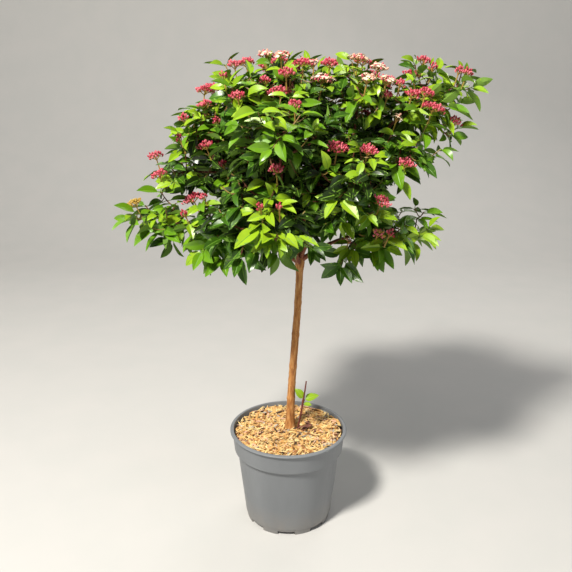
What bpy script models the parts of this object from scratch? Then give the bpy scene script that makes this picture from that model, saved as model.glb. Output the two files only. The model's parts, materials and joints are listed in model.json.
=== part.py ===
"""A standard laurustinus in a round nursery pot: pot, compost, mulch, trunk, boughs and foliage.

Metres, +Z up, origin at the centre of the pot's underside. -Y is the plant's front.
A clear trunk carries a wide, flat-topped crown. Each bough ends where it enters a mass of
foliage. A mass is one solid: a stem, the twigs that branch from it by a seeded rule, and the
leaves and flower heads fused on to them. It keeps to its own cell of the space, which flat
planes halfway to the other masses bound, so no two masses meet.
"""

import math
import random

import bmesh
import bpy
from mathutils import Euler, Matrix, Vector
from mathutils.bvhtree import BVHTree

CLEAR = 0.0003
UP = Vector((0.0, 0.0, 1.0))
SHARP_ANGLE = math.radians(50)

# The pot, a 3 litre nursery container.
POT_HEIGHT = 0.158
RIM_RADIUS = 0.095
LIP_HEIGHT = 0.003
LIP_ROUND = 0.001
COLLAR_TOP_RADIUS = 0.0912
COLLAR_FOOT_RADIUS = 0.0884
COLLAR_FOOT_HEIGHT = 0.124
SHOULDER_HEIGHT = 0.120
BODY_TOP_RADIUS = 0.0832
BODY_FOOT_RADIUS = 0.0712
FOOT_RADIUS = 0.0700
FOOT_SOLE_RADIUS = 0.0688
FOOT_HEIGHT = 0.0095
FOOT_STEP = 0.0008
WALL = 0.0018
FLOOR = 0.0085
POT_SIDES = 36

# The channels that drain its underside, and their holes.
CHANNELS = 8
CHANNEL_INNER_WIDTH = 0.015
CHANNEL_OUTER_WIDTH = 0.036
CHANNEL_HEIGHT = 0.0065
CHANNEL_START = 0.026
CHANNEL_TURN = math.radians(-93)
DRAIN_RADIUS = 0.0045
DRAIN_SIDES = 6
DRAIN_AT = 0.052

# What fills it.
COMPOST_TOP = 0.132
MULCH_TOP = 0.147
MULCH_MOUND = 0.004
MULCH_LUMP = 0.0012
LUMP_WAVES = (95, 80)
MULCH_RINGS = 4
FLAT_RADIUS = 0.015

# The trunk, whose rings crowd towards its foot.
TRUNK_FOOT = Vector((0.003, 0.010, 0.0))
TRUNK_TOP = Vector((0.017, 0.000, 0.452))
TRUNK_RADIUS = 0.0062
TRUNK_TOP_RADIUS = 0.0050
ROOT_FLARE = 0.0036
FLARE_HEIGHT = 0.016
TRUNK_SIDES = 10
TRUNK_RINGS = 11
RING_CROWDING = 1.4

# The boughs. One ends at the first point of its curve that is this deep in its mass's ellipsoid,
# where 0 is the centre and 1 the surface, and this far inside its cell.
LIMB_SIDES = 6
LIMB_RINGS = 5
FIRST_LIMB_RADIUS = 0.0034
SIDE_LIMB_RADIUS = 0.0024
LIMB_TAPER = 0.55
LIMB_HEADING = 0.12
CURVE_STEPS = 80
SHORTEST_LIMB = 0.026
ENTRY_DEPTH = 0.80
ENTRY_MARGIN = 0.006

# Twigs: their radii at root, bend and tip, the sag of their bend, and where others may leave them,
# as a segment and a share of its length.
TWIG_SIDES = 3
TWIG_ROOT_RADIUS = 0.0010
TWIG_RADIUS = 0.0016
TWIG_TIP_RADIUS = 0.0011
TWIG_SAG = 0.14
TWIG_SHORTEST = 0.020
STEM_BEND = 0.45
JOINTS = ((0, 0.60), (1, 0.15), (1, 0.55))
STEM_END_JOINT = (1, 0.98)
REACH_BACK = 0.35
FEWEST_TIPS = 5
ROOM_PER_TIP = 1.7e-4
TRIES_PER_TIP = 6
TIP_MARGIN = 0.004
BEND_MARGIN = 0.003

# Leaves. The proportions of a blade are shares of its length.
LEAF_LENGTH = 0.056
LEAF_SPREAD = (0.80, 1.12)
LEAF_WIDTH = 0.46
LEAF_THICKNESS = 0.022
LEAF_DROOP = 0.10
LEAF_WIDEST = 0.45
LEAF_ROOT = 0.0004
LEAF_STAGGER = 0.0020
LEAF_MARGIN = 0.0005
LEAF_SKYWARD = 0.7
TIP_LIFT = 0.5
# Each row of leaves: its set-back from the twig's tip, its angle to the twig in degrees, its droop,
# its length beside the mean, and its number of leaves.
LEAF_ROWS = (
    (0.0008, 14, 0.12, 0.85, 1),
    (0.0020, 48, 0.28, 1.00, 2),
    (0.0110, 72, 0.44, 1.08, 2),
)
# A leaf with no room is tried turned to one side, then the other, and a little shorter.
LEAF_TRIES = 7
TURN_ASIDE = 0.45
SHORTEN = 0.04
MOST_DEALS = 4
GRAINS = (1e-7, 1e-6)

# Flower heads.
STALK_LENGTH = 0.020
HEAD_RADIUS = 0.019
HEAD_NOTCH = 0.72
HEAD_RISE = 0.006
HEAD_LOBES = 3
BLOOM_OUTWARD = 0.5

# The shoot that rises from the trunk's foot, and its leaves: the share of the shoot's length where
# each grows, its turn about Z and its rise in degrees, and its length.
SHOOT_FOOT = Vector((0.015, 0.001, 0.0))
SHOOT_TIP = Vector((0.0285, -0.001, 0.239))
SHOOT_RADIUS = 0.0017
SHOOT_TAPER = 0.35
SHOOT_RINGS = 4
SHOOT_SIDES = 4
SHOOT_LEAVES = [(0.62, 185, 66, 0.024), (0.60, 8, 26, 0.028), (0.55, 330, 6, 0.016)]

# Each mass: its centre, its half-sizes, the limb that its bough leaves and the share of that
# limb's length where it does, how far the bough arches, and its number of flower heads.
MASSES = {
    "left_tip": ((-0.190, -0.030, 0.512), (0.046, 0.040, 0.024), "left", 0.70, -0.05, 2),
    "left": ((-0.105, -0.055, 0.495), (0.042, 0.048, 0.034), "trunk", 0.945, 0.02, 2),
    "left_middle": ((-0.160, 0.012, 0.570), (0.034, 0.040, 0.020), "left_high", 0.62, -0.05, 2),
    "left_high": ((-0.128, 0.020, 0.636), (0.036, 0.050, 0.034), "trunk", 0.975, 0.05, 2),
    "top_left": ((-0.068, 0.000, 0.690), (0.042, 0.060, 0.026), "top", 0.45, 0.04, 3),
    "top": ((0.004, -0.006, 0.706), (0.044, 0.060, 0.026), "trunk", 1.0, 0.00, 3),
    "top_right": ((0.098, 0.000, 0.700), (0.050, 0.060, 0.026), "right_high", 0.46, 0.05, 4),
    "right_high": ((0.188, 0.000, 0.676), (0.060, 0.050, 0.038), "trunk", 0.985, 0.07, 4),
    "right_middle": ((0.160, -0.035, 0.605), (0.045, 0.042, 0.026), "right_high", 0.56, -0.04, 1),
    "right": ((0.140, -0.040, 0.494), (0.056, 0.050, 0.028), "trunk", 0.955, 0.04, 2),
    "front_high": ((-0.012, -0.120, 0.636), (0.060, 0.040, 0.040), "front", 0.50, 0.08, 2),
    "front": ((-0.030, -0.120, 0.524), (0.060, 0.042, 0.042), "trunk", 0.935, 0.06, 1),
    "front_right": ((0.080, -0.110, 0.572), (0.046, 0.042, 0.048), "trunk", 0.965, 0.08, 2),
    "back_left": ((-0.090, 0.115, 0.598), (0.058, 0.050, 0.058), "trunk", 0.970, 0.08, 2),
    "back_right": ((0.112, 0.115, 0.606), (0.064, 0.050, 0.060), "trunk", 0.980, 0.08, 2),
    "back": ((0.010, 0.130, 0.510), (0.070, 0.042, 0.040), "trunk", 0.940, 0.05, 1),
    "back_top": ((0.020, 0.090, 0.690), (0.050, 0.050, 0.028), "top", 0.60, 0.04, 3),
    "middle_left": ((-0.062, 0.030, 0.560), (0.044, 0.050, 0.052), "left_high", 0.20, 0.00, 0),
    "middle_right": ((0.082, 0.020, 0.570), (0.044, 0.050, 0.052), "top", 0.14, 0.00, 0),
}

# Looks: linear colour and roughness.
GREY_PLASTIC = ((0.22, 0.23, 0.24), 0.55)
DARK_COMPOST = ((0.05, 0.03, 0.02), 0.95)
PALE_WOOD = ((0.62, 0.42, 0.20), 0.90)
BARK = ((0.33, 0.18, 0.09), 0.80)
FOLIAGE = ((0.10, 0.26, 0.03), 0.40)


# ---------------------------------------------------------------- objects and materials

def finish(obj, look, smooth=False):
    """Gives an object its own material, and smooth shading where it is round."""
    colour, roughness = look
    made = bpy.data.materials.new(obj.name)
    made.use_nodes = True
    shader = made.node_tree.nodes["Principled BSDF"]
    shader.inputs["Base Color"].default_value = (*colour, 1.0)
    shader.inputs["Roughness"].default_value = roughness
    shader.inputs["Metallic"].default_value = 0.0
    obj.data.materials.clear()
    obj.data.materials.append(made)
    if smooth:
        obj.data.shade_smooth()
        obj.data.set_sharp_from_angle(angle=SHARP_ANGLE)
    return obj


def new_object(name, bm):
    """The bmesh as an object in the scene. It frees the bmesh."""
    mesh = bpy.data.meshes.new(name)
    bm.to_mesh(mesh)
    bm.free()
    made = bpy.data.objects.new(name, mesh)
    bpy.context.scene.collection.objects.link(made)
    return made


def combined(base, operation, others, solver="EXACT"):
    """Applies one Boolean of base with all the others, and removes those."""
    group = bpy.data.collections.new("others")
    bpy.context.scene.collection.children.link(group)
    for other in others:
        bpy.context.scene.collection.objects.unlink(other)
        group.objects.link(other)
    modifier = base.modifiers.new(operation, "BOOLEAN")
    modifier.operation = operation
    modifier.operand_type = "COLLECTION"
    modifier.collection = group
    modifier.solver = solver
    bpy.context.view_layer.update()
    graph = bpy.context.evaluated_depsgraph_get()
    result = bpy.data.meshes.new_from_object(base.evaluated_get(graph))
    base.modifiers.clear()
    base.data = result
    for other in list(group.objects):
        bpy.data.objects.remove(other)
    bpy.data.collections.remove(group)
    return base


def keep_largest(obj):
    """Drops every shell but the largest: a scrap that a cut left, or a hollow that fusing sealed."""
    bm = bmesh.new()
    bm.from_mesh(obj.data)
    unseen = set(bm.verts)
    shells = []
    while unseen:
        shell, edge = set(), [unseen.pop()]
        while edge:
            vertex = edge.pop()
            shell.add(vertex)
            for link in vertex.link_edges:
                other = link.other_vert(vertex)
                if other in unseen:
                    unseen.discard(other)
                    edge.append(other)
        shells.append(shell)
    shells.sort(key=len)
    for shell in shells[:-1]:
        bmesh.ops.delete(bm, geom=list(shell), context="VERTS")
    bm.to_mesh(obj.data)
    bm.free()


def is_sound(obj, grain):
    """True if each edge still has one face on either side once the points are rounded to a grain."""
    obj.data.calc_loop_triangles()
    places = [tuple(round(c / grain) for c in vertex.co) for vertex in obj.data.vertices]
    sides = {}
    for triangle in obj.data.loop_triangles:
        a, b, c = (places[i] for i in triangle.vertices)
        if a != b and b != c and c != a:
            for edge in ((a, b), (b, c), (c, a)):
                sides[edge] = sides.get(edge, 0) + 1
    return all(sides[(a, b)] == 1 == sides.get((b, a)) for a, b in sides)


# ---------------------------------------------------------------- lines and tubes

def arc_between(start, control, end, count):
    """Points along a quadratic curve, both ends included."""
    shares = [i / (count - 1) for i in range(count)]
    return [start * (1 - t) ** 2 + control * 2 * t * (1 - t) + end * t ** 2 for t in shares]


def along(points, share):
    """The point at a share of a line's number of steps, and its direction there."""
    place = min(max(share, 0.0), 1.0) * (len(points) - 1)
    i = min(int(place), len(points) - 2)
    step = points[i + 1] - points[i]
    return points[i] + step * (place - i), step.normalized()


def tube(points, radii, sides):
    """A closed tube along the points, with a flat cap at each end."""
    bm = bmesh.new()
    rings = []
    tangent = (points[1] - points[0]).normalized()
    side = tangent.orthogonal().normalized()
    for i, (point, radius) in enumerate(zip(points, radii)):
        before, after = points[max(i - 1, 0)], points[min(i + 1, len(points) - 1)]
        tangent = (after - before).normalized()
        side = (side - tangent * side.dot(tangent)).normalized()
        other = tangent.cross(side)
        turns = [2 * math.pi * k / sides for k in range(sides)]
        rings.append(
            [bm.verts.new(point + (side * math.cos(a) + other * math.sin(a)) * radius) for a in turns]
        )
    for low, high in zip(rings, rings[1:]):
        for k in range(sides):
            bm.faces.new((low[k], low[(k + 1) % sides], high[(k + 1) % sides], high[k]))
    bm.faces.new(rings[0][::-1])
    bm.faces.new(rings[-1])
    return bm


def tree_of(bm):
    """What tells whether another shape crosses this one. It frees the bmesh."""
    bmesh.ops.triangulate(bm, faces=bm.faces)
    made = BVHTree.FromBMesh(bm)
    bm.free()
    return made


# ---------------------------------------------------------------- pot and filling

def turned(profile, sides):
    """A solid turned about Z from (radius, height) points, up the outside and down the inside."""
    bm = bmesh.new()
    rings = []
    for radius, height in profile:
        if radius == 0:
            rings.append([bm.verts.new((0, 0, height))])
            continue
        turns = [2 * math.pi * k / sides for k in range(sides)]
        rings.append([bm.verts.new((radius * math.cos(a), radius * math.sin(a), height)) for a in turns])
    for low, high in zip(rings, rings[1:]):
        for k in range(sides):
            corners = (
                low[k % len(low)],
                low[(k + 1) % len(low)],
                high[(k + 1) % len(high)],
                high[k % len(high)],
            )
            bm.faces.new(tuple(dict.fromkeys(corners)))
    return bm


def channel_block(turn):
    """The block that cuts one drainage channel across the underside, wider towards the wall."""
    outline = [
        (CHANNEL_START, -CHANNEL_INNER_WIDTH / 2),
        (RIM_RADIUS, -CHANNEL_OUTER_WIDTH / 2),
        (RIM_RADIUS, CHANNEL_OUTER_WIDTH / 2),
        (CHANNEL_START, CHANNEL_INNER_WIDTH / 2),
    ]
    bm = bmesh.new()
    floor = bm.faces.new([bm.verts.new((x, y, -CHANNEL_HEIGHT)) for x, y in outline])
    made = bmesh.ops.extrude_face_region(bm, geom=[floor])
    raised = [item for item in made["geom"] if isinstance(item, bmesh.types.BMVert)]
    bmesh.ops.translate(bm, verts=raised, vec=UP * 2 * CHANNEL_HEIGHT)
    bmesh.ops.rotate(bm, verts=bm.verts, matrix=Matrix.Rotation(turn, 3, "Z"))
    bmesh.ops.recalc_face_normals(bm, faces=bm.faces)
    return bm


def inner_marks():
    """The (radius, height) points of the pot's inner side, from its floor to its rim."""
    return [
        (BODY_FOOT_RADIUS - WALL, FLOOR),
        (BODY_TOP_RADIUS - WALL, SHOULDER_HEIGHT),
        (COLLAR_FOOT_RADIUS - WALL, COLLAR_FOOT_HEIGHT),
        (COLLAR_TOP_RADIUS - WALL, POT_HEIGHT),
    ]


def inner_radius(height):
    """The pot's inner radius at a height."""
    marks = inner_marks()
    for (first, low), (second, high) in zip(marks, marks[1:]):
        if height <= high:
            return first + (second - first) * (height - low) / (high - low)
    return marks[-1][0]


def make_pot():
    """The pot: a lipped rim, a collar, a tapering body, and a foot cut by drained channels."""
    outside = [
        (0, 0),
        (FOOT_SOLE_RADIUS, 0),
        (FOOT_RADIUS, FOOT_HEIGHT),
        (BODY_FOOT_RADIUS, FOOT_HEIGHT + FOOT_STEP),
        (BODY_TOP_RADIUS, SHOULDER_HEIGHT),
        (COLLAR_FOOT_RADIUS, COLLAR_FOOT_HEIGHT),
        (COLLAR_TOP_RADIUS, POT_HEIGHT - LIP_HEIGHT - LIP_ROUND),
        (RIM_RADIUS, POT_HEIGHT - LIP_HEIGHT),
        (RIM_RADIUS, POT_HEIGHT - LIP_ROUND),
        (RIM_RADIUS - LIP_ROUND, POT_HEIGHT),
    ]
    pot = new_object("pot", turned(outside + inner_marks()[::-1] + [(0, FLOOR)], POT_SIDES))
    cutters = []
    for i in range(CHANNELS):
        turn = CHANNEL_TURN + 2 * math.pi * i / CHANNELS
        cutters.append(new_object("channel", channel_block(turn)))
        centre = Vector((math.cos(turn), math.sin(turn), 0)) * DRAIN_AT
        hole = tube([centre, centre + UP * 2 * FLOOR], [DRAIN_RADIUS] * 2, DRAIN_SIDES)
        cutters.append(new_object("drain", hole))
    return finish(combined(pot, "DIFFERENCE", cutters), GREY_PLASTIC, smooth=True)


def make_compost():
    """The root ball's compost, up to where the mulch lies on it."""
    low = FLOOR + CLEAR
    inner = [mark for mark in inner_marks() if mark[1] < COMPOST_TOP]
    wall = [(radius - 2 * CLEAR, max(height, low)) for radius, height in inner]
    wall.append((inner_radius(COMPOST_TOP) - 2 * CLEAR, COMPOST_TOP))
    profile = [(0, low)] + wall + [(0, COMPOST_TOP)]
    return finish(new_object("compost", turned(profile, POT_SIDES)), DARK_COMPOST)


def mulch_height(x, y):
    """The mulch's top: a low mound with soft lumps, flat round the feet of the trunk and the shoot."""
    mound = MULCH_MOUND * (1 - (math.hypot(x, y) / inner_radius(MULCH_TOP)) ** 2)
    lumps = MULCH_LUMP * math.sin(LUMP_WAVES[0] * x + 1) * math.cos(LUMP_WAVES[1] * y)
    feet = [math.hypot(x - foot.x, y - foot.y) for foot in (TRUNK_FOOT, SHOOT_FOOT)]
    blend = min(1.0, max(0.0, (min(feet) - FLAT_RADIUS) / FLAT_RADIUS))
    return MULCH_TOP + MULCH_MOUND * (1 - blend) + (mound + lumps) * blend


def make_mulch():
    """The layer of shredded wood on the compost."""
    low = COMPOST_TOP + CLEAR
    turns = [2 * math.pi * k / POT_SIDES for k in range(POT_SIDES)]

    def ring(radius, height_at):
        spots = [(radius * math.cos(a), radius * math.sin(a)) for a in turns]
        return [bm.verts.new((x, y, height_at(x, y))) for x, y in spots]

    bm = bmesh.new()
    rings = [ring(inner_radius(low) - 2 * CLEAR, lambda x, y: low)]
    top_radius = inner_radius(MULCH_TOP - 2 * MULCH_LUMP) - 2 * CLEAR
    for i in range(MULCH_RINGS, 0, -1):
        rings.append(ring(top_radius * i / MULCH_RINGS, mulch_height))
    for outer, inner in zip(rings, rings[1:]):
        for k in range(POT_SIDES):
            after = (k + 1) % POT_SIDES
            bm.faces.new((outer[k], outer[after], inner[after], inner[k]))
    bm.faces.new(rings[-1])
    bm.faces.new(rings[0][::-1])
    bmesh.ops.triangulate(bm, faces=bm.faces)
    return finish(new_object("mulch", bm), PALE_WOOD)


# ---------------------------------------------------------------- trunk and boughs

def trunk_line():
    """The trunk's middle line: upright at both ends, with a shallow double bend to the right between."""
    foot = TRUNK_FOOT + UP * (MULCH_TOP + MULCH_MOUND + CLEAR)
    points = []
    for i in range(TRUNK_RINGS):
        t = (i / (TRUNK_RINGS - 1)) ** RING_CROWDING
        bend = t * t * (3 - 2 * t)
        across = foot.lerp(TRUNK_TOP, bend)
        points.append(Vector((across.x, across.y, foot.z + (TRUNK_TOP.z - foot.z) * t)))
    return points


def trunk_radii(points):
    """The trunk's taper, with its flare at the foot."""
    radii = []
    for i, point in enumerate(points):
        t = i / (len(points) - 1)
        flare = ROOT_FLARE * math.exp(-(point.z - points[0].z) / FLARE_HEIGHT)
        radii.append(TRUNK_RADIUS + (TRUNK_TOP_RADIUS - TRUNK_RADIUS) * t + flare)
    return radii


def in_cell(point, name, margin):
    """True if a point is in the mass's own cell, that far clear of each plane between two masses."""
    centre, sizes = Vector(MASSES[name][0]), MASSES[name][1]
    here = (point - centre).length_squared - (sum(sizes) / 3) ** 2
    for other, row in MASSES.items():
        if other == name:
            continue
        middle = Vector(row[0])
        there = (point - middle).length_squared - (sum(row[1]) / 3) ** 2
        if there - here < 2 * margin * (middle - centre).length:
            return False
    return True


def depth_in(point, name):
    """How far out a point lies in the mass's ellipsoid: 0 at its centre and 1 on its surface."""
    centre, sizes = MASSES[name][:2]
    return math.sqrt(sum(((p - c) / s) ** 2 for p, c, s in zip(point, centre, sizes)))


def limb_line(name, lines):
    """A bough's middle line, from the limb that it leaves to where it enters its mass."""
    centre, _, parent, share, rise, _ = MASSES[name]
    start, heading = along(lines[parent], share)
    if share == 1.0:
        start = start + heading * CLEAR
    end = Vector(centre)
    reach = (end - start).length
    control = start.lerp(end, 0.5) + (UP * rise + heading * LIMB_HEADING) * reach
    whole = arc_between(start, control, end, CURVE_STEPS + 1)
    for i, point in enumerate(whole):
        free = (point - start).length > SHORTEST_LIMB
        if free and depth_in(point, name) < ENTRY_DEPTH and in_cell(point, name, ENTRY_MARGIN):
            break
    entry = i / CURVE_STEPS
    return [along(whole, entry * k / LIMB_RINGS)[0] for k in range(LIMB_RINGS + 1)]


def limb_radii(name, count):
    """A bough's taper: stouter where it leaves the trunk than where it leaves another bough."""
    first = FIRST_LIMB_RADIUS if MASSES[name][2] == "trunk" else SIDE_LIMB_RADIUS
    return [first * (1 - (1 - LIMB_TAPER) * i / (count - 1)) for i in range(count)]


def make_limbs():
    """The trunk and the boughs. Each is cut clear of those before it. Returns their lines and trees."""
    lines = {"trunk": trunk_line()}
    radii = {"trunk": trunk_radii(lines["trunk"])}
    order = sorted(MASSES, key=lambda name: (MASSES[name][2] != "trunk", MASSES[name][3] < 1.0))
    for name in order:
        lines[name] = limb_line(name, lines)
        radii[name] = limb_radii(name, len(lines[name]))
    trunk = new_object("trunk", tube(lines["trunk"], radii["trunk"], TRUNK_SIDES))
    finish(trunk, BARK, smooth=True)
    fatter, trees = {}, {}
    for name in ["trunk"] + order:
        sides = TRUNK_SIDES if name == "trunk" else LIMB_SIDES
        wide = [r / math.cos(math.pi / sides) + CLEAR for r in radii[name]]
        fatter[name] = (lines[name], wide, sides)
        trees[name] = tree_of(tube(*fatter[name]))
    for i, name in enumerate(order):
        limb = new_object("bough_" + name, tube(lines[name], radii[name], LIMB_SIDES))
        near = BVHTree.FromObject(limb, bpy.context.evaluated_depsgraph_get())
        met = [n for n in ["trunk"] + order[:i] if near.overlap(trees[n])]
        if met:
            combined(limb, "DIFFERENCE", [new_object("cutter", tube(*fatter[n])) for n in met])
            keep_largest(limb)
        finish(limb, BARK, smooth=True)
    return lines, radii, trees


# ---------------------------------------------------------------- twigs

def even_point(index, offset):
    """A point of an evenly spread, endless sequence in the unit cube."""
    base = 1.2207440846
    return [(offset + (index + 1) / base ** (k + 1)) % 1.0 for k in range(3)]


def tip_count(name):
    """How many twigs a mass has: more in a larger one."""
    sizes = MASSES[name][1]
    return FEWEST_TIPS + round(4.19 * sizes[0] * sizes[1] * sizes[2] / ROOM_PER_TIP)


def tip_spot(name, index, offset):
    """Where one twig of a mass tries to end: an even spread through its ellipsoid."""
    u, v, w = even_point(index, offset)
    centre, sizes = MASSES[name][:2]
    radius, height, turn = u ** (1 / 3), 2 * v - 1, 2 * math.pi * w
    flat = math.sqrt(1 - height * height)
    spot = Vector((flat * math.cos(turn), flat * math.sin(turn), height)) * radius
    return Vector(c + s * x for c, s, x in zip(centre, sizes, spot))


class Twig:
    """A bent twig: its three points, from its root to its tip, and its index."""

    def __init__(self, points, index):
        self.points = points
        self.index = index

    def shape(self, root=TWIG_ROOT_RADIUS, middle=TWIG_RADIUS, tip=TWIG_TIP_RADIUS):
        """The twig as a three-sided prism. A slim root stays inside the twig that it leaves."""
        return tube(self.points, [root, middle, tip], TWIG_SIDES)

    def joint(self, segment, share, run):
        """A point of the twig, with the length of wood from there back to the bough."""
        steps = [after - before for before, after in zip(self.points, self.points[1:])]
        behind = sum(step.length for step in steps[:segment])
        spot = self.points[segment] + steps[segment] * share
        return spot, run + behind + steps[segment].length * share

    def joints(self, run):
        """Where other twigs may leave this one."""
        return [self.joint(segment, share, run) for segment, share in JOINTS]


def crosses(bm, trees):
    """True if a shape's surface crosses any of the others."""
    own = BVHTree.FromBMesh(bm)
    return any(own.overlap(tree) for tree in trees)


def grow(name, start, heading, count, trees):
    """The twigs of a mass: its stem, then one to each tip from the joint that reaches it best."""
    centre = Vector(MASSES[name][0])
    bend = start + heading * (centre - start).length * STEM_BEND
    stem = Twig([start, bend, centre], -1)
    twigs = [stem]
    joints = stem.joints(0.0) + [stem.joint(*STEM_END_JOINT, 0.0)]
    offset = random.Random(name).random()
    for index in range(count * TRIES_PER_TIP):
        if len(twigs) > count:
            break
        tip = tip_spot(name, index, offset)
        place = min(joints, key=lambda j: (tip - j[0]).length + REACH_BACK * j[1])
        root, run = place
        reach = (tip - root).length
        if reach < TWIG_SHORTEST or not in_cell(tip, name, TIP_MARGIN):
            continue
        bend = root.lerp(tip, 0.5) - UP * TWIG_SAG * reach
        twig = Twig([root, bend, tip], index)
        shape = twig.shape()
        clear = in_cell(bend, name, BEND_MARGIN) and not crosses(shape, trees)
        shape.free()
        if clear:
            twigs.append(twig)
            joints.remove(place)
            joints += twig.joints(run)
    return twigs


# ---------------------------------------------------------------- leaves and flower heads

def leaf(root, along_blade, face, length):
    """A leaf blade of six faces: a flat kite with a low ridge on its upper side."""
    bm = bmesh.new()
    across = along_blade.cross(face).normalized()
    up = across.cross(along_blade).normalized()
    middle = root + along_blade * length * LEAF_WIDEST
    half = length * LEAF_WIDTH / 2
    base = bm.verts.new(root)
    tip = bm.verts.new(root + along_blade * length - up * length * LEAF_DROOP)
    one, two = (bm.verts.new(middle + across * half * side) for side in (1, -1))
    over = bm.verts.new(middle + up * length * LEAF_THICKNESS)
    for a, b in ((base, one), (one, tip), (tip, two), (two, base)):
        bm.faces.new((a, b, over))
    bm.faces.new((base, two, one))
    bm.faces.new((one, two, tip))
    return bm


def flower_head(foot, heading):
    """A flat-topped flower head of lobes, on a tapering stalk."""
    tip = foot + heading * STALK_LENGTH
    side = heading.orthogonal().normalized()
    other = heading.cross(side)
    bm = bmesh.new()
    base, crown = bm.verts.new(foot), bm.verts.new(tip + heading * HEAD_RISE)
    ring = []
    for i in range(2 * HEAD_LOBES):
        turn = math.pi * i / HEAD_LOBES
        radius = HEAD_RADIUS * (HEAD_NOTCH if i % 2 else 1.0)
        out = side * math.cos(turn) + other * math.sin(turn)
        ring.append(bm.verts.new(tip + out * radius + heading * HEAD_RISE * 0.5 * (i % 2)))
    for i, corner in enumerate(ring):
        after = ring[(i + 1) % len(ring)]
        bm.faces.new((corner, after, crown))
        bm.faces.new((after, corner, base))
    return bm


def leaf_pose(heading, turn, spread, droop):
    """The direction of a leaf at a twig's tip, and which way its upper face looks."""
    side = heading.orthogonal().normalized()
    out = side * math.cos(turn) + heading.cross(side) * math.sin(turn)
    blade = (heading * math.cos(spread) + out * math.sin(spread) - UP * droop).normalized()
    face = heading * math.sin(spread) - out * math.cos(spread) + UP * LEAF_SKYWARD
    return blade, face


def fits(shape, name, trees, taken):
    """True if a leaf or a flower head keeps to its cell and crosses no wood and no other leaf."""
    bmesh.ops.recalc_face_normals(shape, faces=shape.faces)
    inside = all(in_cell(vertex.co, name, LEAF_MARGIN) for vertex in shape.verts)
    if inside and not crosses(shape, trees) and not crosses(shape, taken):
        return True
    shape.free()
    return False


def dress(name, twig, blooming, trees, taken, deal):
    """The leaves of a twig, in opposite pairs that turn a quarter at each row, and its flower head."""
    draw = random.Random(f"{name} {twig.index} {deal}")
    last = (twig.points[2] - twig.points[1]).length
    heading = (twig.points[2] - twig.points[1]) / last
    lifted = (heading + UP * TIP_LIFT).normalized()
    first_turn = draw.uniform(0, math.pi)
    kept = []
    if blooming:
        head = flower_head(twig.points[2] - heading * LEAF_ROWS[1][0], (lifted + UP).normalized())
        if fits(head, name, trees, taken):
            kept.append(head)
            taken.append(BVHTree.FromBMesh(head))
    for row, (back, angle, droop, share, count) in enumerate(LEAF_ROWS):
        if blooming and count == 1:
            continue
        for side in range(count):
            set_back = min(back + LEAF_STAGGER * side, last)
            root = twig.points[2] - heading * set_back
            spread = math.radians(angle + draw.uniform(-8, 8))
            turn = first_turn + math.pi * side + math.pi / 2 * row + draw.uniform(-0.3, 0.3)
            length = LEAF_LENGTH * draw.uniform(*LEAF_SPREAD) * share
            for attempt in range(LEAF_TRIES):
                aside = (attempt + 1) // 2 * (TURN_ASIDE if attempt % 2 else -TURN_ASIDE)
                blade, face = leaf_pose(lifted, turn + aside, spread, droop)
                size = length * (1 - SHORTEN * attempt)
                shape = leaf(root - blade * LEAF_ROOT, blade, face, size)
                if fits(shape, name, trees, taken):
                    kept.append(shape)
                    taken.append(BVHTree.FromBMesh(shape))
                    break
    return kept


def bloom_rank(twig):
    """Flower heads stand at the tips that reach highest and furthest from the crown's middle."""
    tip = twig.points[2]
    outward = Vector((tip.x - TRUNK_TOP.x, tip.y - TRUNK_TOP.y)).length
    return tip.z + BLOOM_OUTWARD * outward


def make_mass(name, lines, radii, trees):
    """One mass of foliage, fused to one solid. Leaves that fuse badly are dealt out again."""
    end, heading = along(lines[name], 1.0)
    start = end + heading * CLEAR
    twigs = grow(name, start, heading, tip_count(name), list(trees.values()))
    wood = [twigs[0].shape(radii[name][-1], radii[name][-1], TWIG_RADIUS)]
    wood += [twig.shape() for twig in twigs[1:]]
    wood_trees = [BVHTree.FromBMesh(shape) for shape in wood]
    highest = sorted(twigs[1:], key=bloom_rank, reverse=True)
    blooming = {twig.index for twig in highest[: MASSES[name][5]]}
    for deal in range(MOST_DEALS):
        shapes, taken = [shape.copy() for shape in wood], []
        for i, twig in enumerate(twigs[1:], 1):
            others = list(trees.values()) + wood_trees[:i] + wood_trees[i + 1 :]
            shapes += dress(name, twig, twig.index in blooming, others, taken, deal)
        objects = [new_object("piece", shape) for shape in shapes]
        mass = combined(objects[0], "UNION", objects[1:], "MANIFOLD")
        keep_largest(mass)
        if all(is_sound(mass, grain) for grain in GRAINS):
            break
        if deal < MOST_DEALS - 1:
            bpy.data.objects.remove(mass)
    for shape in wood:
        shape.free()
    mass.name = "foliage_" + name
    return finish(mass, FOLIAGE)


def make_shoot():
    """The thin leafy shoot from the trunk's foot, leaves fused on."""
    foot = SHOOT_FOOT + UP * (MULCH_TOP + MULCH_MOUND + CLEAR)
    line = [foot.lerp(SHOOT_TIP, i / (SHOOT_RINGS - 1)) for i in range(SHOOT_RINGS)]
    radii = [SHOOT_RADIUS * (1 - SHOOT_TAPER * i / (SHOOT_RINGS - 1)) for i in range(SHOOT_RINGS)]
    shapes = [tube(line, radii, SHOOT_SIDES)]
    for share, turn, rise, length in SHOOT_LEAVES:
        blade = Vector((1, 0, 0))
        blade.rotate(Euler((0, -math.radians(rise), math.radians(turn))))
        shape = leaf(along(line, share)[0], blade, UP - Vector((0, 0.5, 0)), length)
        bmesh.ops.recalc_face_normals(shape, faces=shape.faces)
        shapes.append(shape)
    objects = [new_object("piece", shape) for shape in shapes]
    shoot = combined(objects[0], "UNION", objects[1:], "MANIFOLD")
    shoot.name = "foot_shoot"
    keep_largest(shoot)
    return finish(shoot, FOLIAGE)


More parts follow.
